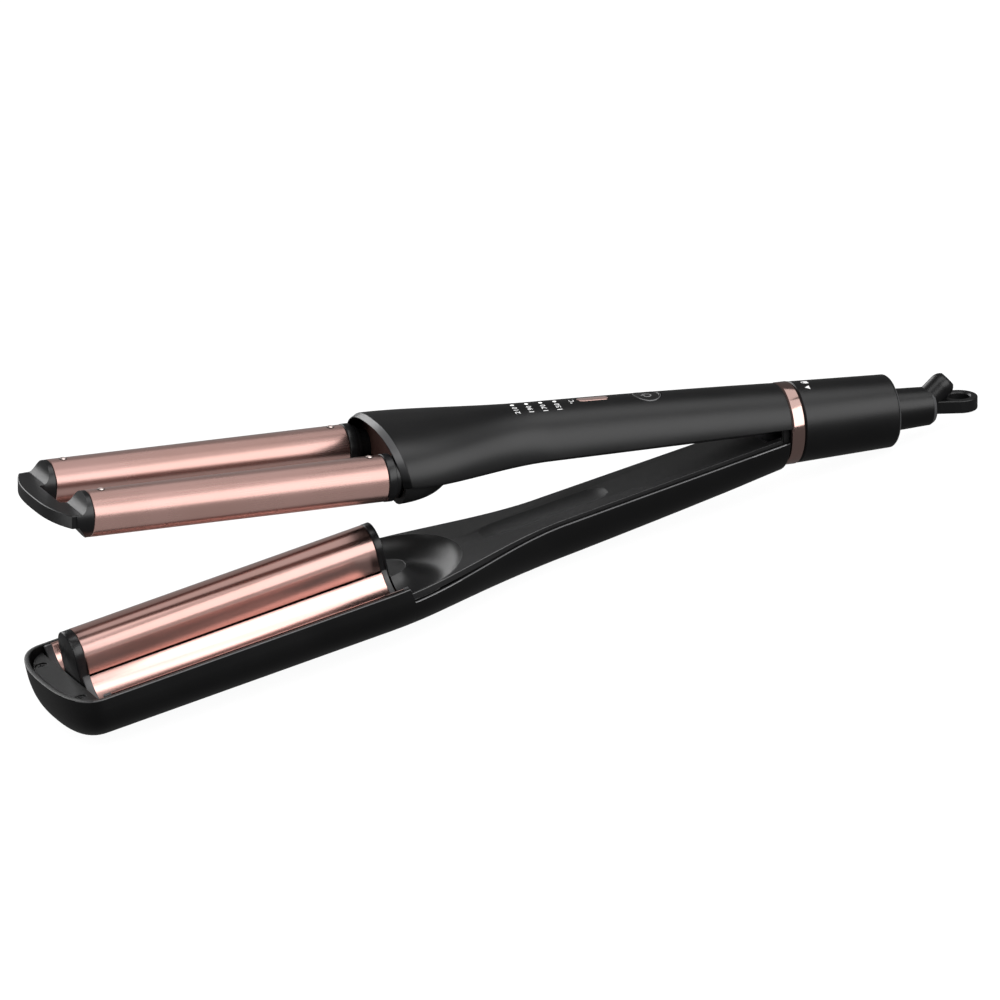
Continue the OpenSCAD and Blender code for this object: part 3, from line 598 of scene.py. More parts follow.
# flat cover under the housing with the rounded lip round the barrel roots
def polar_cover(name, cx, x_end, side, z_flat, z_back, minor, up, outline_w, place, r_edge=0.4, back_minor=None):
    """plate with a half ring gutter or lip of the given minor radius; `up` (+1 top, -1 bottom) is not used"""
    dip = math.sqrt(minor * minor - (BZ - z_flat) ** 2)
    rin, rout = BY - dip, BY + dip
    # boundary samples, from +y side round the far end to -y side
    xs = [cx + (x_end - cx) * (i / 110) for i in range(111)]
    right = [(x, outline_w(x)) for x in xs]
    end = [(x_end, outline_w(x_end) * (1 - 2 * i / 12)) for i in range(1, 12)]
    bd = fillet([right[0]] + right[1:-1] + [right[-1]], 0) + end + [(x, -w) for x, w in right[::-1]]
    rings_top, rings_back = [], []
    n_gut = 30
    for bx, by in bd:
        phi = math.atan2(by, bx - cx)
        R = math.hypot(bx - cx, by)
        c, s = math.cos(phi), math.sin(phi)
        prof = [(0.0, z_flat), (rin * 0.5, z_flat), (rin - 0.55, z_flat), (rin - 0.25, z_flat - up_sign(up, side) * 0.06)]
        back = [(0.0, z_back), (rin * 0.5, z_back), (rin - 0.55, z_back), (rin - 0.25, z_back)]
        bm_ = back_minor
        for i in range(n_gut + 1):
            a = (i / n_gut)
            a = a0_of(minor, z_flat) + (pi - 2 * a0_of(minor, z_flat)) * a
            rho = BY - minor * math.cos(a)
            zz = BZ - minor * math.sin(a)
            prof.append((rho, zz))
            if bm_:
                dr = bm_ * bm_ - (rho - BY) ** 2
                back.append((rho, min(z_back, BZ - math.sqrt(dr)) if dr > 0 else z_back))
            else:
                back.append((rho, z_back))
        for rr, dz in ((rout + 0.25, 0.06), (rout + 0.6, 0.0)):
            prof.append((min(rr, R - 0.9 - (0.6 - (rr - rout)) * 0.2), z_flat - up_sign(up, side) * dz))
            back.append((min(rr, R - 0.9 - (0.6 - (rr - rout)) * 0.2), z_back))
        e = r_edge
        d = max(0.0, R - 0.0)
        for q in range(5):
            t = pi / 2 * q / 4
            prof.append((d - e * (1 - math.sin(t)), z_flat + (z_back - z_flat) / abs(z_back - z_flat) * e * (1 - math.cos(t))))
            back.append((d - 0.02 * (4 - q), z_back))
        rings_top.append([(cx + r * c, r * s, z) for r, z in prof])
        rings_back.append([(cx + r * c, r * s, z) for r, z in back])
    k = len(rings_top[0])
    m = len(rings_top)
    verts = [p for r in rings_top for p in r] + [p for r in rings_back for p in r]
    off = m * k
    faces = []
    for j in range(m - 1):
        for i in range(k - 1):
            a = j * k + i
            faces.append((a, a + 1, a + k + 1, a + k))
            a += off
            faces.append((a, a + k, a + k + 1, a + 1))
        a, b = j * k + k - 1, (j + 1) * k + k - 1
        faces.append((a, off + a, off + b, b))
    for j in (0, m - 1):
        for i in range(k - 1):
            a = j * k + i
            faces.append((a, off + a, off + a + 1, a + 1))
    return raw(name, verts, faces, place, 30, 2e-7)


def up_sign(up, side):
    return 1


def a0_of(minor, z_flat):
    return math.asin((BZ - z_flat) / minor)


def lower_cover():
    ob = polar_cover("lower_cover", -172.5, -9.0, 1, -0.6, -3.0, 12.0, 1, lambda x: lw(x) - 2.8, in_lower, 0.4, 13.5)
    # shallow finger-wide scoop: a barrel-shaped tool with round ends
    R, half = 27.6, 20.5
    rings = []
    for i in range(25):
        a = pi / 2 * i / 24
        rings.append((-104.5 - half - R * math.cos(a), R * math.sin(a)))
    rings += [(2 * -104.5 - x, r) for x, r in rings[::-1]]
    prof = [(x, max(r, 0.001)) for x, r in rings]
    v = []
    seg = 160
    zc = -0.6 + R - 0.8
    for x, r in prof:
        v.append([(x, r * math.sin(2 * pi * q / seg), zc + r * math.cos(2 * pi * q / seg)) for q in range(seg)])
    tool = raw("t", *loft(v), in_lower)
    boolean(ob, tool, smooth=30)
    o = fillet([(-15, -9.4), (2, -9.4), (2, 9.4), (-15, 9.4)], [1.2, 0, 0, 1.2], 5)
    boolean(ob, raw("t", *slab(o, -6, 4, 0, 0, lambda u, w_, h: (u, w_, h)), in_lower), smooth=30)
    put(ob, "lower_arm", ["lower_inner_cover"], "cover")
    # the cover's edge chamfer and the bowl's rim ring wear a lighter grey: painted highlight
    mark(ob, "edge_hl_c", "l", lambda c, n: (-0.9 < c[2] < -0.6 and 0.3 < n[2] < 0.97 and abs(c[1]) > lw(c[0]) - 3.5 and c[0] < -12)
         or (31.35 < math.hypot(c[0] + 172.5, c[1]) < 31.8 and c[2] > -0.72 and c[0] > -166))
    weighted(ob)
    return ob


lower_cover()


def upper_cover():
    # the plate
    n = 100
    xs = [-165.6 + 153.6 * i / n for i in range(n + 1)]
    out = [(x, -(uw(x) - 2.6)) for x in xs] + [(x, uw(x) - 2.6) for x in xs[::-1]]
    v, f = slab(out, 0.6, 2.6, 0.35, 0.2, lambda u, w_, h: (u, w_, h))
    ob = raw("upper_cover", v, f, in_upper, 30)
    # the lip: lower part of a ring, solid
    rings = []
    a0 = math.asin((BZ - 1.9) / 10.7)
    for j in range(65):
        phi = -pi / 2 + pi * j / 64
        c, s = math.cos(phi), math.sin(phi)
        sec = []
        for i in range(41):
            a = a0 + (pi - 2 * a0) * i / 40
            sec.append((BY - 10.7 * math.cos(a), BZ - 10.7 * math.sin(a)))
        rings.append([(-168.1 + r * c, r * s, z) for r, z in sec])
    lip = raw("t", *loft(rings), in_upper)
    cut = raw("t2", *slab([(-220, -60), (-165.6, -60), (-165.6, 60), (-220, 60)], -20, 20, 0, 0, lambda u, w_, h: (u, w_, h)), in_upper)
    boolean(lip, cut)
    boolean(ob, lip, "UNION", smooth=30)
    for s in (-1, 1):
        boolean(ob, turned("t", [(-170, 0.001), (-170, 9.32), (-166, 9.32), (-166, 8.4), (-156.2, 8.4), (-156.2, 0.001)], in_upper, s * BY, BZ), smooth=30)
    boolean(ob, raw("t", *slab(oblong(54.2, 13.2, 24), -1, 1.2, 0, 0.3, lambda u, w_, h: (u - 104.5, w_, h)), in_upper), smooth=30)
    weighted(ob)
    return put(ob, "handle", ["upper_inner_cover"], "cover_u")


upper_cover()


# ---------------------------------------------------------------- barrels
def barrel(name, s):
    x0, x1, r, q = UB0, UB1, BARREL_R, BARREL_R - WALL
    prof = fillet([(x0, q), (x0, r), (x1, r), (x1, q)], [0.2, 0.4, 0.4, 0.2], 5)
    return turned(name, prof, in_upper, s * BY, BZ, 192)


put(barrel("barrel_tube_near", -1), "handle", ["barrel_near"], "rose_u")
put(barrel("barrel_tube_far", 1), "handle", ["barrel_far"], "rose_u")


def collars():
    parts = []
    for s in (-1, 1):
        prof = fillet([(UB1 - 4, 5.4), (UB1 - 4, 7.74), (UB1 + 0.02, 7.74), (UB1 + 0.02, 9.2), (-168.3, 9.2), (-168.3, 8.2), (-166.5, 8.2), (-166.5, 6.5), (-157, 6.5), (-157, 5)],
                      [0, 0.2, 0, 0.45, 0.5, 0.1, 0.2, 0, 0.2, 0], 4)
        parts.append(lathe(prof, 144, s * BY, BZ))
    ob = join("barrel_root_collars", parts, in_upper)
    return put(ob, "handle", ["barrel_collars"], "heat_u")


collars()


def rivets():
    ob = None
    vs, fs, mi = [], [], []
    for s in (-1, 1):
        for x in (-285.2, -176.6):
            # a black ring standing in for the shaded gap round each head, painted shade, then the domed head
            for prof, m in ((fillet([(7.75, 0.0), (7.75, 1.32), (9.0, 1.32), (9.0, 1.56), (9.03, 1.56), (9.03, 1.2), (9.03, 0.0)], [0, 0, 0, 0.0, 0.04, 0, 0], 3), 1),
                            ([(8.6, 0.0), (8.6, 1.3)] + [(9.0 + 0.55 * math.sin(a), 1.3 * math.cos(a)) for a in [pi / 2 * i / 14 for i in range(14)]] + [(9.55, 0.0)], 0)):
                seg = 36
                o = len(vs)
                k = len(prof)
                for q in range(seg):
                    t = 2 * pi * q / seg
                    for h, r in prof:
                        vs.append((x + r * math.cos(t), s * BY + r * math.sin(t), BZ + h))
                for q in range(seg):
                    for i in range(k - 1):
                        a, b = o + q * k + i, o + ((q + 1) % seg) * k + i
                        fs.append((a, b, b + 1, a + 1))
                        mi.append(m)
    me = bpy.data.meshes.new("barrel_rivet_heads")
    me.from_pydata([tuple(in_upper(v)) for v in vs], [], fs)
    me.polygons.foreach_set("material_index", mi)
    bm = bmesh.new()
    bm.from_mesh(me)
    bmesh.ops.remove_doubles(bm, verts=bm.verts, dist=1e-7)
    bmesh.ops.dissolve_degenerate(bm, edges=bm.edges, dist=1e-7)
    bmesh.ops.recalc_face_normals(bm, faces=bm.faces)
    bm.to_mesh(me)
    bm.free()
    ob = bpy.data.objects.new("barrel_rivet_heads", me)
    scene.collection.objects.link(ob)
    finish_shading(ob, 40)
    ob.data.materials.append(M["rivet"])
    ob.data.materials.append(M["heat_u"])
    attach(ob, "handle")
    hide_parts("barrel_rivets")


rivets()


# ---------------------------------------------------------------- nose that joins the barrels
def bridge():
    # crescent plate, its rear edge cut back between the caps
    w = 28.9
    front = [(-305.4 + 5.6 * (abs(y) / 29.2) ** 2.8, y) for y in [w * (1 - 2 * i / 96) for i in range(97)]]
    out = fillet(front + [(-296.0, -w), (-296.0, w)], [0.9] + [0] * 95 + [0.9, 0, 0], 4)
    ob = raw("nose_bridge", *slab(out, 1.5, 6.7, 0.4, 0.45, lambda u, w_, h: (u, w_, h), 4), in_upper, 30)
    o = fillet([(-298.3, -11.3), (-270, -11.3), (-270, 11.3), (-298.3, 11.3)], [1.2, 0, 0, 1.2], 5)
    boolean(ob, raw("t", *slab(o, -3, 12, 0, 0, lambda u, w_, h: (u, w_, h)), in_upper), smooth=30)
    # caps: scooped shoulder above, slanted plane below
    side = [(UB0 + 0.01, -8), (-292.2, -8), (-292.2, -4.9), (-297.1, 1.6), (-298, 1.6), (-298, 6.6)]
    side += [(-296.2 + 3.4 * math.sin(t), 14 - 7.35 * math.cos(t)) for t in [pi / 2 * i / 28 for i in range(29)]] + [(UB0 + 0.01, 14)]
    for s in (-1, 1):
        body = turned("t", fillet([(-298.5, 0.0), (-298.5, 8.95), (UB0, 8.95), (UB0, 0.0)], [0, 0, 0.3, 0], 4), in_upper, s * BY, BZ, 144)
        cut = raw("t2", *slab(side, -12, 12, 0, 0, lambda u, w_, h: (u, h + s * BY, w_)), in_upper)
        boolean(body, cut, "INTERSECT")
        boolean(ob, body, "UNION", smooth=30)
    # plugs inside the tubes
    for s in (-1, 1):
        t = turned("t", [(UB0 - 0.3, 5), (UB0 - 0.3, 7.75), (UB0 + 4, 7.75), (UB0 + 4, 5)], in_upper, s * BY, BZ, 96)
        boolean(ob, t, "UNION", smooth=30)
    b = ob.modifiers.new("e", "BEVEL")
    b.width, b.segments, b.limit_method, b.angle_limit = 0.00018, 2, "ANGLE", math.radians(34)
    b.use_clamp_overlap = True
    put(ob, "handle", ["tip_bridge"], "heat_u")
    # the top front bevel of the nose wears a lighter grey: painted highlight
    mark(ob, "edge_hl_n", "u", lambda c, n: 6.2 < c[2] < 6.7 and 0.1 < n[2] < 0.96 and n[0] < -0.05 and c[0] < -298.2)
    weighted(ob)
    return ob


bridge()


# ---------------------------------------------------------------- ring, sleeve, swivel
def ring():
    prof = fillet([(-1, 13.4), (-1, 15.35), (-0.35, 15.9), (3.85, 15.9), (4.5, 15.35), (4.5, 13.4)], [0, 0.15, 0.3, 0.3, 0.15, 0], 4)
    return put(turned("polished_ring", prof, in_upper, 0, 0, 192), "handle", ["trim_ring"], "rose_trim")


ring()


def sleeve():
    prof = fillet([(4.72, 13.3), (4.72, 15.25), (5.15, 15.68), (43.9, 14.08), (44.8, 13.3), (44.8, 12.27), (31.7, 12.27), (31.7, 12.95),
                   (29.7, 12.95), (29.7, 12.27), (14.2, 12.27), (14.2, 13.3)], [0, 0.1, 0.3, 1.2, 0.6, 0.15, 0, 0, 0, 0, 0, 0], 7)
    ob = put(turned("twist_lock_sleeve", prof, in_upper, 0, 0, 192), "lock_ring", ["lock_sleeve"], "shell_u")
    # the sleeve's rear chamfer wears a lighter grey: painted highlight
    mark(ob, "edge_hl_u", "u", lambda c, n: c[0] > 43.9 and 0.62 < n[0] < 0.93 and math.hypot(c[1], c[2]) > 13)
    return ob


sleeve()


def gland():
    prof = fillet([(15, 0.0), (15, 6), (22.1, 6), (22.1, 7), (41.1, 7), (41.1, 8.18), (46, 8.18), (61.0, 7.42), (62.6, 6.5), (63.4, 5.0), (63.4, 0.0)],
                  [0, 0.2, 0, 0.2, 0, 0.2, 0, 0.8, 0.8, 0.4, 0], 5)
    ob = turned("swivel_body", prof, in_upper, 0, 0, 128)
    t = math.radians(48.5)

    def stub_place(p):
        # local x along the stub
        x, y, z = p
        return in_upper((56.6 + x * math.sin(t) - z * math.cos(t), y, -1.4 + x * math.cos(t) + z * math.sin(t)))
    dome = [(13.25 + 4.93 * math.sin(a), 4.93 * math.cos(a)) for a in [pi / 2 * i / 18 for i in range(18)]]
    v, f = lathe([(0, 0.0), (0, 4.93)] + dome + [(18.18, 0.0)], 96)
    boolean(ob, raw("t", v, f, stub_place), "UNION", smooth=30)
    # flat hanging loop on a neck that widens to it
    out = [(56, -4), (62, -4.2)] + arc(74.0, 0, 7.4, -1.859, 1.859, 60) + [(62, 4.2), (56, 4)]
    boolean(ob, raw("t", *slab(out, -2.4, 2.7, 0.6, 0.5, lambda u, w_, h: (u, w_, h), 4), in_upper), "UNION", smooth=30)
    # countersunk loop hole
    rings = []
    for h, r in ((-4, 4.9), (-2.4, 4.9), (-2.1, 4.55), (-1.9, 4.4), (2.1, 4.4), (2.35, 4.55), (2.7, 4.9), (4, 4.9)):
        rings.append([(74.0 + r * math.cos(2 * pi * q / 72), r * math.sin(2 * pi * q / 72), h) for q in range(72)])
    boolean(ob, raw("t", *loft(rings), in_upper), smooth=30)
    v, f = lathe([(3, 0.001), (3, 3.1), (16.9, 3.1), (17.3, 3.4), (21, 3.4), (21, 0.001)], 72)
    boolean(ob, raw("t", v, f, stub_place), smooth=30)
    v, f = lathe([(14, 0.001), (14, 2.6), (58, 2.6), (58, 0.001)], 48)
    boolean(ob, raw("t", v, f, in_upper), smooth=30)
    put(ob, "swivel", ["swivel_gland"], "shell_u")
    # the rounded shoulder at the body's rear end wears a lighter grey: painted highlight
    mark(ob, "edge_hl_u", "u", lambda c, n: 60.9 < c[0] < 62.2 and 0.4 < n[0] < 0.75 and 6.0 < math.hypot(c[1], c[2]) < 7.6)
    weighted(ob)
    return ob


gland()


# ---------------------------------------------------------------- controls
def button():
    # shank and collar below, a dished cap above that follows the curve of the handle
    low = [(0.0, 13.95), (5.9, 13.95), (5.9, 14.55), (5.1, 14.55), (5.1, 15.3), (5.6, 15.3)]
    cap = [(5.6, -0.5), (5.6, -0.16), (5.54, -0.03), (5.42, 0.03), (5.25, 0.05), (5.05, 0.03), (4.9, -0.05), (4.7, -0.18), (4.4, -0.30),
           (3.9, -0.38), (3.0, -0.46), (2.0, -0.51), (1.0, -0.54), (0.0, -0.55)]
    rings = []
    for q in range(97):
        t = 2 * pi * q / 96
        ring_ = [(POWER_X + r * math.cos(t), r * math.sin(t), z) for r, z in low]
        ring_ += [(POWER_X + r * math.cos(t), r * math.sin(t), top_z(POWER_X + r * math.cos(t), r * math.sin(t)) + d) for r, d in cap]
        rings.append(ring_)
    v, f = loft(rings, False, False, False)
    ob = raw("power_button_cap", v, f, in_upper, 35)
    put(ob, "power_button", ["power_button"], "button")
    # the button's raised rim wears a lighter grey: painted highlight
    mark(ob, "edge_hl_u", "u", lambda c, n: 5.15 < math.hypot(c[0] - POWER_X, c[1]) < 5.58 and c[2] > 16)
    # generic on/standby sign: broken ring and bar
    parts = []

    def on_dish(u, w_, h):
        return u, w_, top_z(u, w_) - 0.535 + h
    path = [(POWER_X + 1.75 * math.cos(a), 1.75 * math.sin(a)) for a in [pi + math.radians(38) + (2 * pi - math.radians(76)) * i / 40 for i in range(41)]]
    parts.append(slab(strip(path, 0.2, 0.2), -0.12, 0.08, 0, 0.02, on_dish))
    parts.append(slab(fillet([(POWER_X - 2.3, -0.2), (POWER_X - 0.5, -0.2), (POWER_X - 0.5, 0.2), (POWER_X - 2.3, 0.2)], 0.12, 3), -0.12, 0.08, 0, 0.02, on_dish))
    put(join("power_sign", parts, in_upper), "power_button", (), "sign")


button()


def key():
    parts = []
    o = oblong(13.0, 4.0, 20)
    rings = [[(KEY_X + u, w_, 15.9) for u, w_ in o]]
    for d, h in ((0.0, -0.5), (0.0, -0.22), (0.06, -0.1), (0.18, 0.0), (0.4, 0.05), (0.8, 0.07), (1.3, 0.08)):
        rings.append([(KEY_X + u, w_, top_z(KEY_X + u, w_) + h) for u, w_ in inset2(o, d)])
    parts.append(loft(rings))
    parts.append(slab(oblong(14.2, 5.2, 20), 15.2, 15.9, 0.1, 0.1, lambda u, w_, h: (KEY_X + u, w_, h)))
    parts.append(slab(oblong(3.2, 3.2, 16), 13.9, 15.2, 0.1, 0, lambda u, w_, h: (KEY_X + u, w_, h)))
    return put(join("temperature_key_bar", parts, in_upper), "temperature_key", ["temperature_key"], "rose_trim")


key()


def lights():
    parts = []
    for x in LED_X:
        z = uh(x)
        pts = [(0.0, 11.1), (0.75, 11.1), (0.75, z + 0.02), (0.68, z + 0.07), (0.4, z + 0.1), (0.0, z + 0.11)]
        rings = []
        for q in range(33):
            t = 2 * pi * q / 32
            rings.append([(x + r * math.cos(t), r * math.sin(t), h) for r, h in pts])
        parts.append(loft(rings, False, False, False))
    return put(join("light_windows", parts, in_upper, 40), "handle", ["led_light_pipes"], "lamp")


lights()


def lettering(name, items, surface, body, mat="print"):
    """thin raised print laid on a surface; each item is (text or outline list, x, y, size)"""
    vs, fs = [], []
    for what, x0, y0, size in items:
        if isinstance(what, str):
            cu = bpy.data.curves.new("t", "FONT")
            cu.body, cu.size, cu.align_x, cu.align_y = what, size, "RIGHT", "CENTER"
            cu.resolution_u, cu.extrude, cu.space_character = 3, 0.06, 1.12
            ob = bpy.data.objects.new("t", cu)
            scene.collection.objects.link(ob)
            bpy.context.view_layer.update()
            me = bpy.data.meshes.new_from_object(ob.evaluated_get(bpy.context.evaluated_depsgraph_get()))
            bpy.data.objects.remove(ob)
        else:
            me = bpy.data.meshes.new("t")
            v, f = slab(what, -0.06, 0.06, 0, 0, lambda u, w_, h: (u, w_, h))
            me.from_pydata([tuple(p) for p in v], [], f)
        bm = bmesh.new()
        bm.from_mesh(me)
        bmesh.ops.remove_doubles(bm, verts=bm.verts, dist=1e-5)
        bmesh.ops.triangulate(bm, faces=bm.faces)
        long = [e for e in bm.edges if e.calc_length() > 0.5]
        bmesh.ops.subdivide_edges(bm, edges=long, cuts=2)
        bmesh.ops.triangulate(bm, faces=bm.faces)
        bm.verts.index_update()
        o = len(vs)
        for v in bm.verts:
            # text runs along +y, its top points to the tip (-x)
            X, Y = x0 - v.co.y, y0 + v.co.x
            vs.append((X, Y, surface(X, Y) + v.co.z - 0.015))
        fs += [tuple(o + q.index for q in f.verts) for f in bm.faces]
        bm.free()
        bpy.data.meshes.remove(me)
    ob = raw(name, vs, fs, in_upper, 40, 1e-8)
    return put(ob, body, (), mat)


def sleeve_top(x, y):
    r = 15.68 - (x - 5.15) * (15.68 - 14.08) / (43.9 - 5.15)
    return math.sqrt(max(1.0, r * r - y * y))


marks = [(n, x, -2.2, 2.9) for n, x in zip(("210", "190", "170", "150"), LED_X)]
marks += [("°C", -86.3, -0.1, 2.9)]
lettering("temperature_numbers", marks, top_z, "handle")
tri = [(-1.1, -0.9), (1.1, -0.9), (0.0, 1.0)]
# padlock outline: body and shackle
lock = fillet([(-1.3, -1.0), (1.3, -1.0), (1.3, 0.7), (-1.3, 0.7)], 0.25, 3)
shackle = strip(arc(0, 0.7, 0.85, 0, pi, 14), 0.17, 0.17)
lettering("lock_marks", [(lock, 10.1, -0.4, 1), (shackle, 10.1, -0.4, 1), (tri, 9.3, -4.7, 1)], sleeve_top, "lock_ring")


# ---------------------------------------------------------------- lower housing
def lower_housing():
    xs = []
    for i in range(35):
        t = i / 34
        phi = pi / 2 * (1 - t ** 1.35)
        xs.append(-300.5 - 13.55 * math.sin(phi) ** (2 / 2.43))
    x = -299.6
    while x < -173.9:
        xs.append(x)
        x += 1.2
    xs += [-173.75, -173.3, -172.7]
    x = -171.8
    while x < -6.8:
        xs.append(x)
        x += 1.1
    xs += [-6.6, -6.4, -6.25, -6.2]
    rings = []
    for x in xs:
        lean = 0.0 if x <= -30 else 0.23 * (-1 if x > -13 else -(-(x + 30) / 17) * -1)
        if x > -30:
            lean = 0.23 * (-1.0 if x > -13 else (-(x + 30) / 17))
        xi = -296 + (x + 296) * 0.885 if x < -296 else x
        w, d = lw(x), ld(x)
        k = max(0.6, 1 - max(0.0, -x - 300) / 36)
        wi = lw(x) * (1 - 2.0 / BOAT_W) if x < -296 else lw(x) - 2.0
        di = ld(x) - 2.0 * k
        if x < -173.6:
            rim = 2.7
        elif x < -172.6:
            rim = 2.7 + (lrim(-172.6) - 2.7) * ss((x + 173.6) / 1.0)
        else:
            rim = lrim(x)
        g = -rim
        e = 0.0
        if x > -6.65:
            e = {-6.6: 0.02, -6.4: 0.08, -6.25: 0.2, -6.2: 0.35}[x]
        # hair's breadth inside the solid's box at the toe and at the keel
        xt = x + 0.024 * max(0.0, (-x - 300.5) / 13.55)
        rings.append(half_loop(xt, w - e, d - e, xi, wi, di, ln(x), g, -1, lean, 0.4, BOAT_D - 0.014))
    v, f = loft(rings, False, True)
    ob = raw("lower_housing", v, f, in_lower, 30, 3e-6)
    put(ob, "lower_arm", ["lower_shell"], "shell_l")
    def rim_at(x):
        return 2.7 if x < -173.6 else 2.7 + (lrim(-172.6) - 2.7) * ss(x + 173.6) if x < -172.6 else lrim(x)
    # rim bevels wear a lighter grey: painted highlight
    mark(ob, "edge_hl_l", "l", lambda c, n: abs(c[2] - rim_at(c[0]) + 0.2) < 0.3 and 0.15 < n[2] < 0.95 and (n[1] * c[1] > 0 or c[0] < -300 and n[0] < -0.1) and c[0] < -8)
    # flat rim tops behind the step are near black: painted shade of the gap to the cover
    mark(ob, "groove_shade", "l", lambda c, n: c[0] > -172.4 and abs(c[2] - rim_at(c[0])) < 0.12 and n[2] > 0.96 and abs(c[1]) < lw(c[0]) - 0.3)
    # the rim step at the mouth wears a lighter grey: painted highlight
    mark(ob, "edge_hl_l", "l", lambda c, n: -173.8 < c[0] < -172.3 and n[0] > 0.3 and abs(c[1]) > lw(c[0]) - 0.75 and c[2] > -3.6)
    weighted(ob)
    return ob


lower_housing()


# ---------------------------------------------------------------- troughs and centre barrel
def trough():
    parts = []
    t = WALL
    for s in (-1, 1):
        # mid-line of the sheet: flange, fold, half-round trough
        rm = TROUGH + t / 2
        a1 = math.asin((2.7 - t / 2 - BZ) / rm)
        path = [(-33.0, 2.1), (-32.6, 2.1)]
        arcp = arc(-BY, BZ, rm, pi - a1, 2 * pi + a1, 72)
        path = [(-33.05, 2.1), (-32.75, 2.1), (-32.45, 2.08), (-32.2, 2.0)] + arcp[1:]
        out = strip(path, t / 2, t / 2)
        if s > 0:
            out = [(-y, z) for y, z in out][::-1]
        parts.append(slab(out, LB0, LB1, 0.15, 0.15, lambda u, w_, h: (h, u, w_), 2))
    bridge_o = [(-14.0, -6.3), (14.0, -6.3), (12.6, -5.25), (-12.6, -5.25)]
    parts.append(slab(bridge_o, LB0, LB1, 0, 0, lambda u, w_, h: (h, u, w_), 1))
    ob = join("trough_sheet", parts, in_lower, 30)
    return put(ob, "lower_arm", ["trough_plate"], "rose_l")


trough()


def trims():
    for name, x0, x1, r0, r1, zt, node in (("trough_tip_edges", -300.2, LB0 - 0.02, TROUGH, TROUGH + 1.6, 2.7, "trough_tip_trims"),
                                           ("trough_rear_edges", LB1 + 0.02, -173.5, TROUGH + 0.2, TROUGH + 1.6, 2.5, "trough_rear_trims")):
        parts = []
        for s in (-1, 1):
            rm = (r0 + r1) / 2
            a1 = math.asin((zt - BZ) / rm)
            out = strip(arc(-BY, BZ, rm, pi - a1, 2 * pi + a1, 72), (r1 - r0) / 2, (r1 - r0) / 2)
            if s > 0:
                out = [(-y, z) for y, z in out][::-1]
            parts.append(slab(out, x0, x1, 0.35, 0.05, lambda u, w_, h: (h, u, w_), 3))
        put(join(name, parts, in_lower, 30), "lower_arm", [node], "trim")


trims()


def arch(r, zb, n=64):
    return [(-r, zb)] + [(-y, z) for y, z in arc(0, CZ, r, 0, pi, n)] + [(r, zb)]


def centre():
    # thin arch, open below
    r, q = BARREL_R, BARREL_R - WALL
    o, i_ = arch(r, 2.75), arch(q, 2.75)
    out = fillet(o, [0.3] + [0] * (len(o) - 2) + [0.3], 3) + fillet(i_[::-1], 0)
    put(raw("centre_barrel_arch", *slab(out, LB0, LB1, 0.35, 0.35, lambda u, w_, h: (h, u, w_), 4), in_lower, 30),
        "lower_arm", ["centre_barrel"], "rose_l")
    # end cap: bevelled disc with feet that straddle the trough ends
    r = BARREL_R - 0.05
    foot = arch(r, -3.5)
    parts = [slab(fillet(foot, [0.4] + [0] * (len(foot) - 2) + [0.4], 3), -301.2, -300.0, 0.45, 0, lambda u, w_, h: (h, u, w_), 4)]
    # shoulder behind the disc keeps clear of the troughs
    neck = []
    rr = TROUGH + 1.65
    for y, z in arch(r, 1.2):
        neck.append((y, z))
    side = []
    for zz in (1.2, -0.2, -1.6, -2.6, -3.5):
        side.append((BY - math.sqrt(max(0, rr * rr - (zz - BZ) ** 2)), zz))
    neck = [(-y, z) for y, z in side[::-1]] + arch(r, 1.2)[1:-1] + [(y, z) for y, z in side]
    neck = [(max(-r, min(r, y)), z) for y, z in neck]
    parts.append(slab(neck, -300.1, LB0 - 0.02, 0, 0.15, lambda u, w_, h: (h, u, w_), 2))
    parts.append(slab(arch(BARREL_R - WALL - 0.05, 3), LB0 - 0.1, LB0 + 4, 0, 0.2, lambda u, w_, h: (h, u, w_), 2))
    put(join("centre_end_cap", parts, in_lower, 30), "lower_arm", ["centre_tip_cap"], "heat_l")
    # rear ring
    r = BARREL_R + 0.1
    neck = [(-y, z) for y, z in side[::-1] if z > -0.7] + arch(r, 1.2)[1:-1] + [(y, z) for y, z in side if z > -0.7]
    neck = [(max(-r, min(r, y)), z) for y, z in neck]
    parts = [slab(neck, LB1 + 0.02, -173.3, 0.3, 0, lambda u, w_, h: (h, u, w_), 3),
             slab(arch(r, -0.6), -173.35, -172.6, 0, 0.35, lambda u, w_, h: (h, u, w_), 4),
             slab(arch(BARREL_R - WALL - 0.05, 3), LB1 - 4, LB1 + 0.1, 0.2, 0, lambda u, w_, h: (h, u, w_), 2)]
    put(join("centre_root_ring", parts, in_lower, 30), "lower_arm", ["centre_rear_ring"], "heat_l")


centre()


def tray():
    xs = [-311 + 9.6 * (i / 30) ** 1.7 for i in range(31)]
    out = [(x, -(lw(x - 2.3) - 2.7)) for x in xs] + [(x, lw(x - 2.3) - 2.7) for x in xs[::-1]]
    ob = raw("nose_tray", *slab(out, -1.6, 0.5, 0.1, 0.3, lambda u, w_, h: (u, w_, h), 3), in_lower, 30)
    for s in (-1, 1):
        rings = []
        for h, r in ((-5, 1.25), (-0.4, 1.25), (-0.39, 2.4), (0.25, 2.4), (0.42, 2.5), (0.52, 2.75), (2, 2.75)):
            rings.append([(TRAY_X + r * math.cos(2 * pi * q / 48), s * TRAY_Y + r * math.sin(2 * pi * q / 48), h) for q in range(48)])
        boolean(ob, raw("t", *loft(rings), in_lower), smooth=30)
    weighted(ob)
    return put(ob, "lower_arm", ["tip_tray"], "tray")


tray()

# ---------------------------------------------------------------- stage
bm = bmesh.new()
bmesh.ops.create_grid(bm, x_segments=8, y_segments=8, size=3.0)
me = bpy.data.meshes.new("floor")
bm.to_mesh(me)
bm.free()
floor = bpy.data.objects.new("floor", me)
scene.collection.objects.link(floor)
m, nt, b = new_mat("pale_floor")
tc = nt.nodes.new("ShaderNodeTexCoord")
f = noise(nt, tc.outputs["Object"], 3.0, 2)
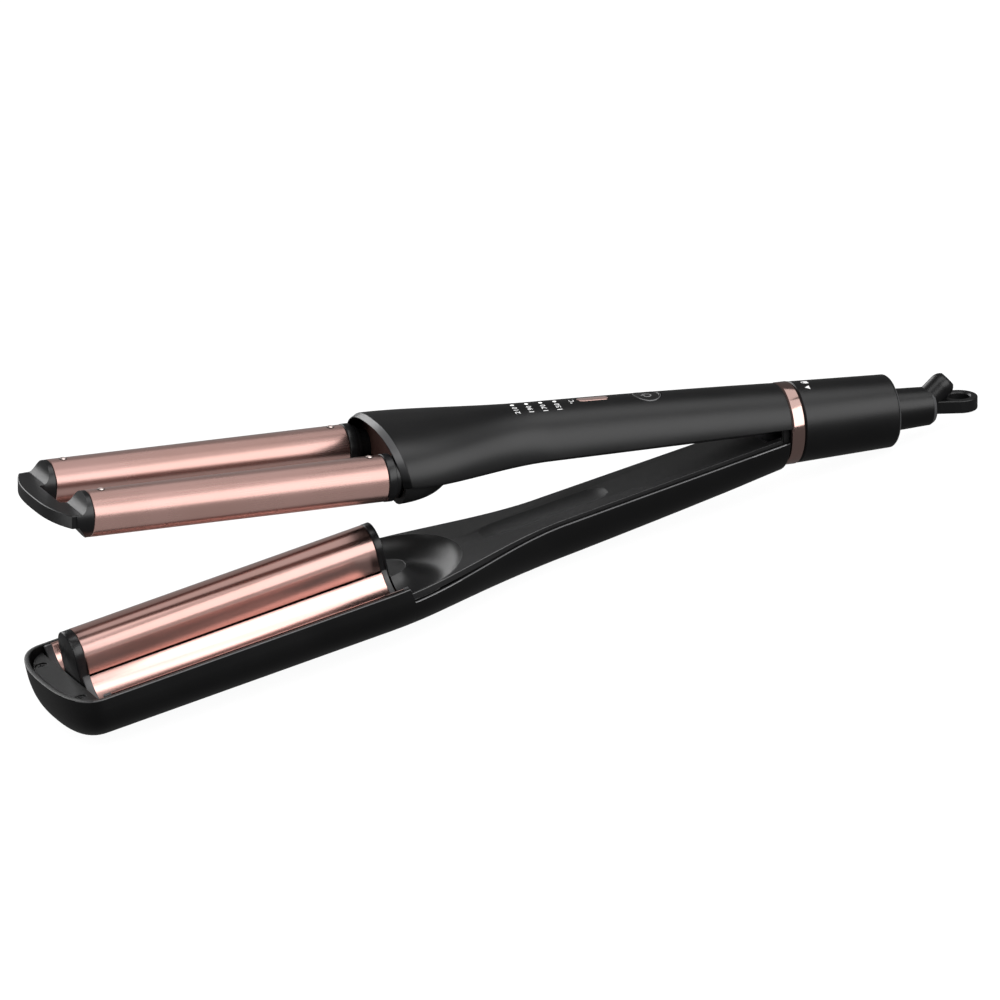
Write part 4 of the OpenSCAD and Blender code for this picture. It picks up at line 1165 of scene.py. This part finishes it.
# pale to the eye; a darker one in reflections keeps the undersides black, as on a lit table in a dark studio
lp = nt.nodes.new("ShaderNodeLightPath")
seen = nt.nodes.new("ShaderNodeMix")
seen.data_type = "RGBA"
seen.inputs[6].default_value = (0.11, 0.11, 0.11, 1)
nt.links.new(lp.outputs["Is Camera Ray"], seen.inputs[0])
nt.links.new(mix_col(nt, ramp(nt, f, 0, 1), (0.86, 0.86, 0.86), (0.88, 0.88, 0.88)), seen.inputs[7])
nt.links.new(seen.outputs[2], b.inputs["Base Color"])
b.inputs["Roughness"].default_value = 0.9
b.inputs["Specular IOR Level"].default_value = 0.1
floor.data.materials.append(m)

# camera: the photograph's view, far off with a long lens
A, E = math.radians(-21.6), math.radians(17.75)


def from_upper(v):
    return Vector(_rot(OPEN - LIE, *v))


right = from_upper((math.cos(A), math.sin(A), 0))
up = from_upper((-math.sin(A) * math.sin(E), math.cos(A) * math.sin(E), math.cos(E)))
back = from_upper((math.sin(A) * math.cos(E), -math.cos(A) * math.cos(E), math.sin(E)))
LENS = 800.0
centre_pt = in_upper((0, 0, 0)) + right * (-0.1071) + up * (-0.0293)
cam_d = bpy.data.cameras.new("camera")
cam_d.lens, cam_d.sensor_width = LENS, 36
cam_d.clip_start, cam_d.clip_end = 0.1, 100
cam = bpy.data.objects.new("camera", cam_d)
scene.collection.objects.link(cam)
cam.rotation_mode = "QUATERNION"
cam.location = centre_pt + back * (0.3826 * LENS / 36)
cam.rotation_quaternion = Matrix((right, up, back)).transposed().to_quaternion()
scene.camera = cam

# light: a dim studio dome and soft panels; each panel is linked to the surfaces it is meant for
world = bpy.data.worlds.new("studio")
scene.world = world
world.use_nodes = True
wn = world.node_tree
bg = wn.nodes["Background"]
bg.inputs[0].default_value = (1, 1, 1, 1)
bg.inputs[1].default_value = 0.12


def panel(name, loc, target, sx, sy, power):
    l = bpy.data.lights.new(name, "AREA")
    l.shape, l.size, l.size_y, l.energy = "RECTANGLE", sx, sy, power
    o = bpy.data.objects.new(name, l)
    scene.collection.objects.link(o)
    o.location = loc
    o.rotation_mode = "QUATERNION"
    o.rotation_quaternion = (Vector(target) - Vector(loc)).to_track_quat("-Z", "Y")
    return o


def radiance_panel(name, direction, dist, sx, sy, radiance):
    d = Vector(direction).normalized()
    c = Vector((0, 0, 0.045))
    # power in watts that gives the wanted radiance: P = L * area * pi
    return panel(name, c + d * dist, c, sx, sy, radiance * sx * sy * pi)


METAL = {"barrel_tube_near", "barrel_tube_far", "centre_barrel_arch", "trough_sheet", "barrel_rivet_heads", "polished_ring", "temperature_key_bar"}


def group(name, objects):
    c = bpy.data.collections.new(name)
    for o in objects:
        c.objects.link(o)
    return c


meshes = [o for o in scene.objects if o.type == "MESH"]
on_metal = group("lit_metal", [o for o in meshes if o.name in METAL])
on_black = group("lit_black", [o for o in meshes if o.name not in METAL and o is not floor])
on_floor = group("lit_floor", [floor])
on_trough = group("lit_trough", [o for o in meshes if o.name == "trough_sheet"])
on_centre = group("lit_centre", [o for o in meshes if o.name == "centre_barrel_arch"])
on_nose = group("lit_nose", [o for o in meshes if o.name == "nose_bridge"])
on_cover = group("lit_cover", [o for o in meshes if o.name == "lower_cover"])
on_barrels = group("lit_barrels", [o for o in meshes if o.name in METAL - {"polished_ring"}])


def lit(o, only):
    o.light_linking.receiver_collection = only
    o.visible_camera = False
    return o


# rose metal
lit(radiance_panel("metal_front", (0.478, -0.685, 0.33), 2.2, 3.4, 1.7, 3.0), on_metal)
lit(radiance_panel("metal_above", (0.1, -0.10, 1.0), 2.0, 4.4, 1.6, 1.0), on_metal)
lit(radiance_panel("metal_above_front", (0.3, -0.70, 1.10), 2.2, 3.4, 0.9, 1.2), on_metal)
lit(radiance_panel("metal_back", (0.2, 1.0, 0.5), 2.4, 5.0, 2.4, 0.34), on_barrels)
lit(panel("metal_floor", (0.2, -1.0, 0.004), (0.2, -1.0, 1.0), 5.0, 2.6, 0.5 * 5.0 * 2.6 * pi), on_barrels)
lit(radiance_panel("trough_front", (0.25, -0.55, 0.80), 2.0, 4.0, 1.5, 2.6), on_trough)
lit(radiance_panel("trough_low", (0.28, -0.92, 0.26), 2.0, 4.0, 0.9, 2.6), on_trough)
c0, c1 = in_lower((-236.4, -13.2, 6.0)), in_lower((-236.4, 0.0, 6.0))
lit(panel("centre_fill", c0, c1, 0.12, 0.010, 0.20 * 0.12 * 0.010 * pi), on_centre)
# black plastic
lit(radiance_panel("black_front", (0.478, -0.685, 0.37), 2.2, 3.4, 1.5, 4.6), on_black)
lit(radiance_panel("black_above", (0.1, -0.25, 1.0), 2.0, 3.6, 1.2, 3.4), on_black)
lit(radiance_panel("black_back_left", (-0.30, 0.94, 0.42), 2.2, 1.9, 1.2, 4.0), on_black)
lit(radiance_panel("black_left", (-1.0, -0.05, 0.14), 2.0, 1.2, 0.7, 3.0), on_black)
lit(radiance_panel("bowl_front", (0.2, -0.6, 0.85), 2.0, 3.0, 0.9, 4.5), on_cover)
n1 = in_upper((-302.0, 0.0, 4.0))
lit(panel("nose_left", n1 + Vector((-0.5, -0.02, -0.012)), n1 + Vector((0, 0, -0.012)), 0.6, 0.09, 2.4 * 0.6 * 0.09 * pi), on_nose)
# floor
sun = bpy.data.lights.new("floor_fill", "SUN")
sun.energy, sun.use_shadow = 3.45, False
so = bpy.data.objects.new("floor_fill", sun)
scene.collection.objects.link(so)
so.light_linking.receiver_collection = on_floor
lit(radiance_panel("floor_soft", (0.1, 0.0, 1.0), 2.0, 3.0, 3.0, 0.10), on_floor)

scene.view_settings.view_transform = "Standard"
scene.view_settings.look = "None"
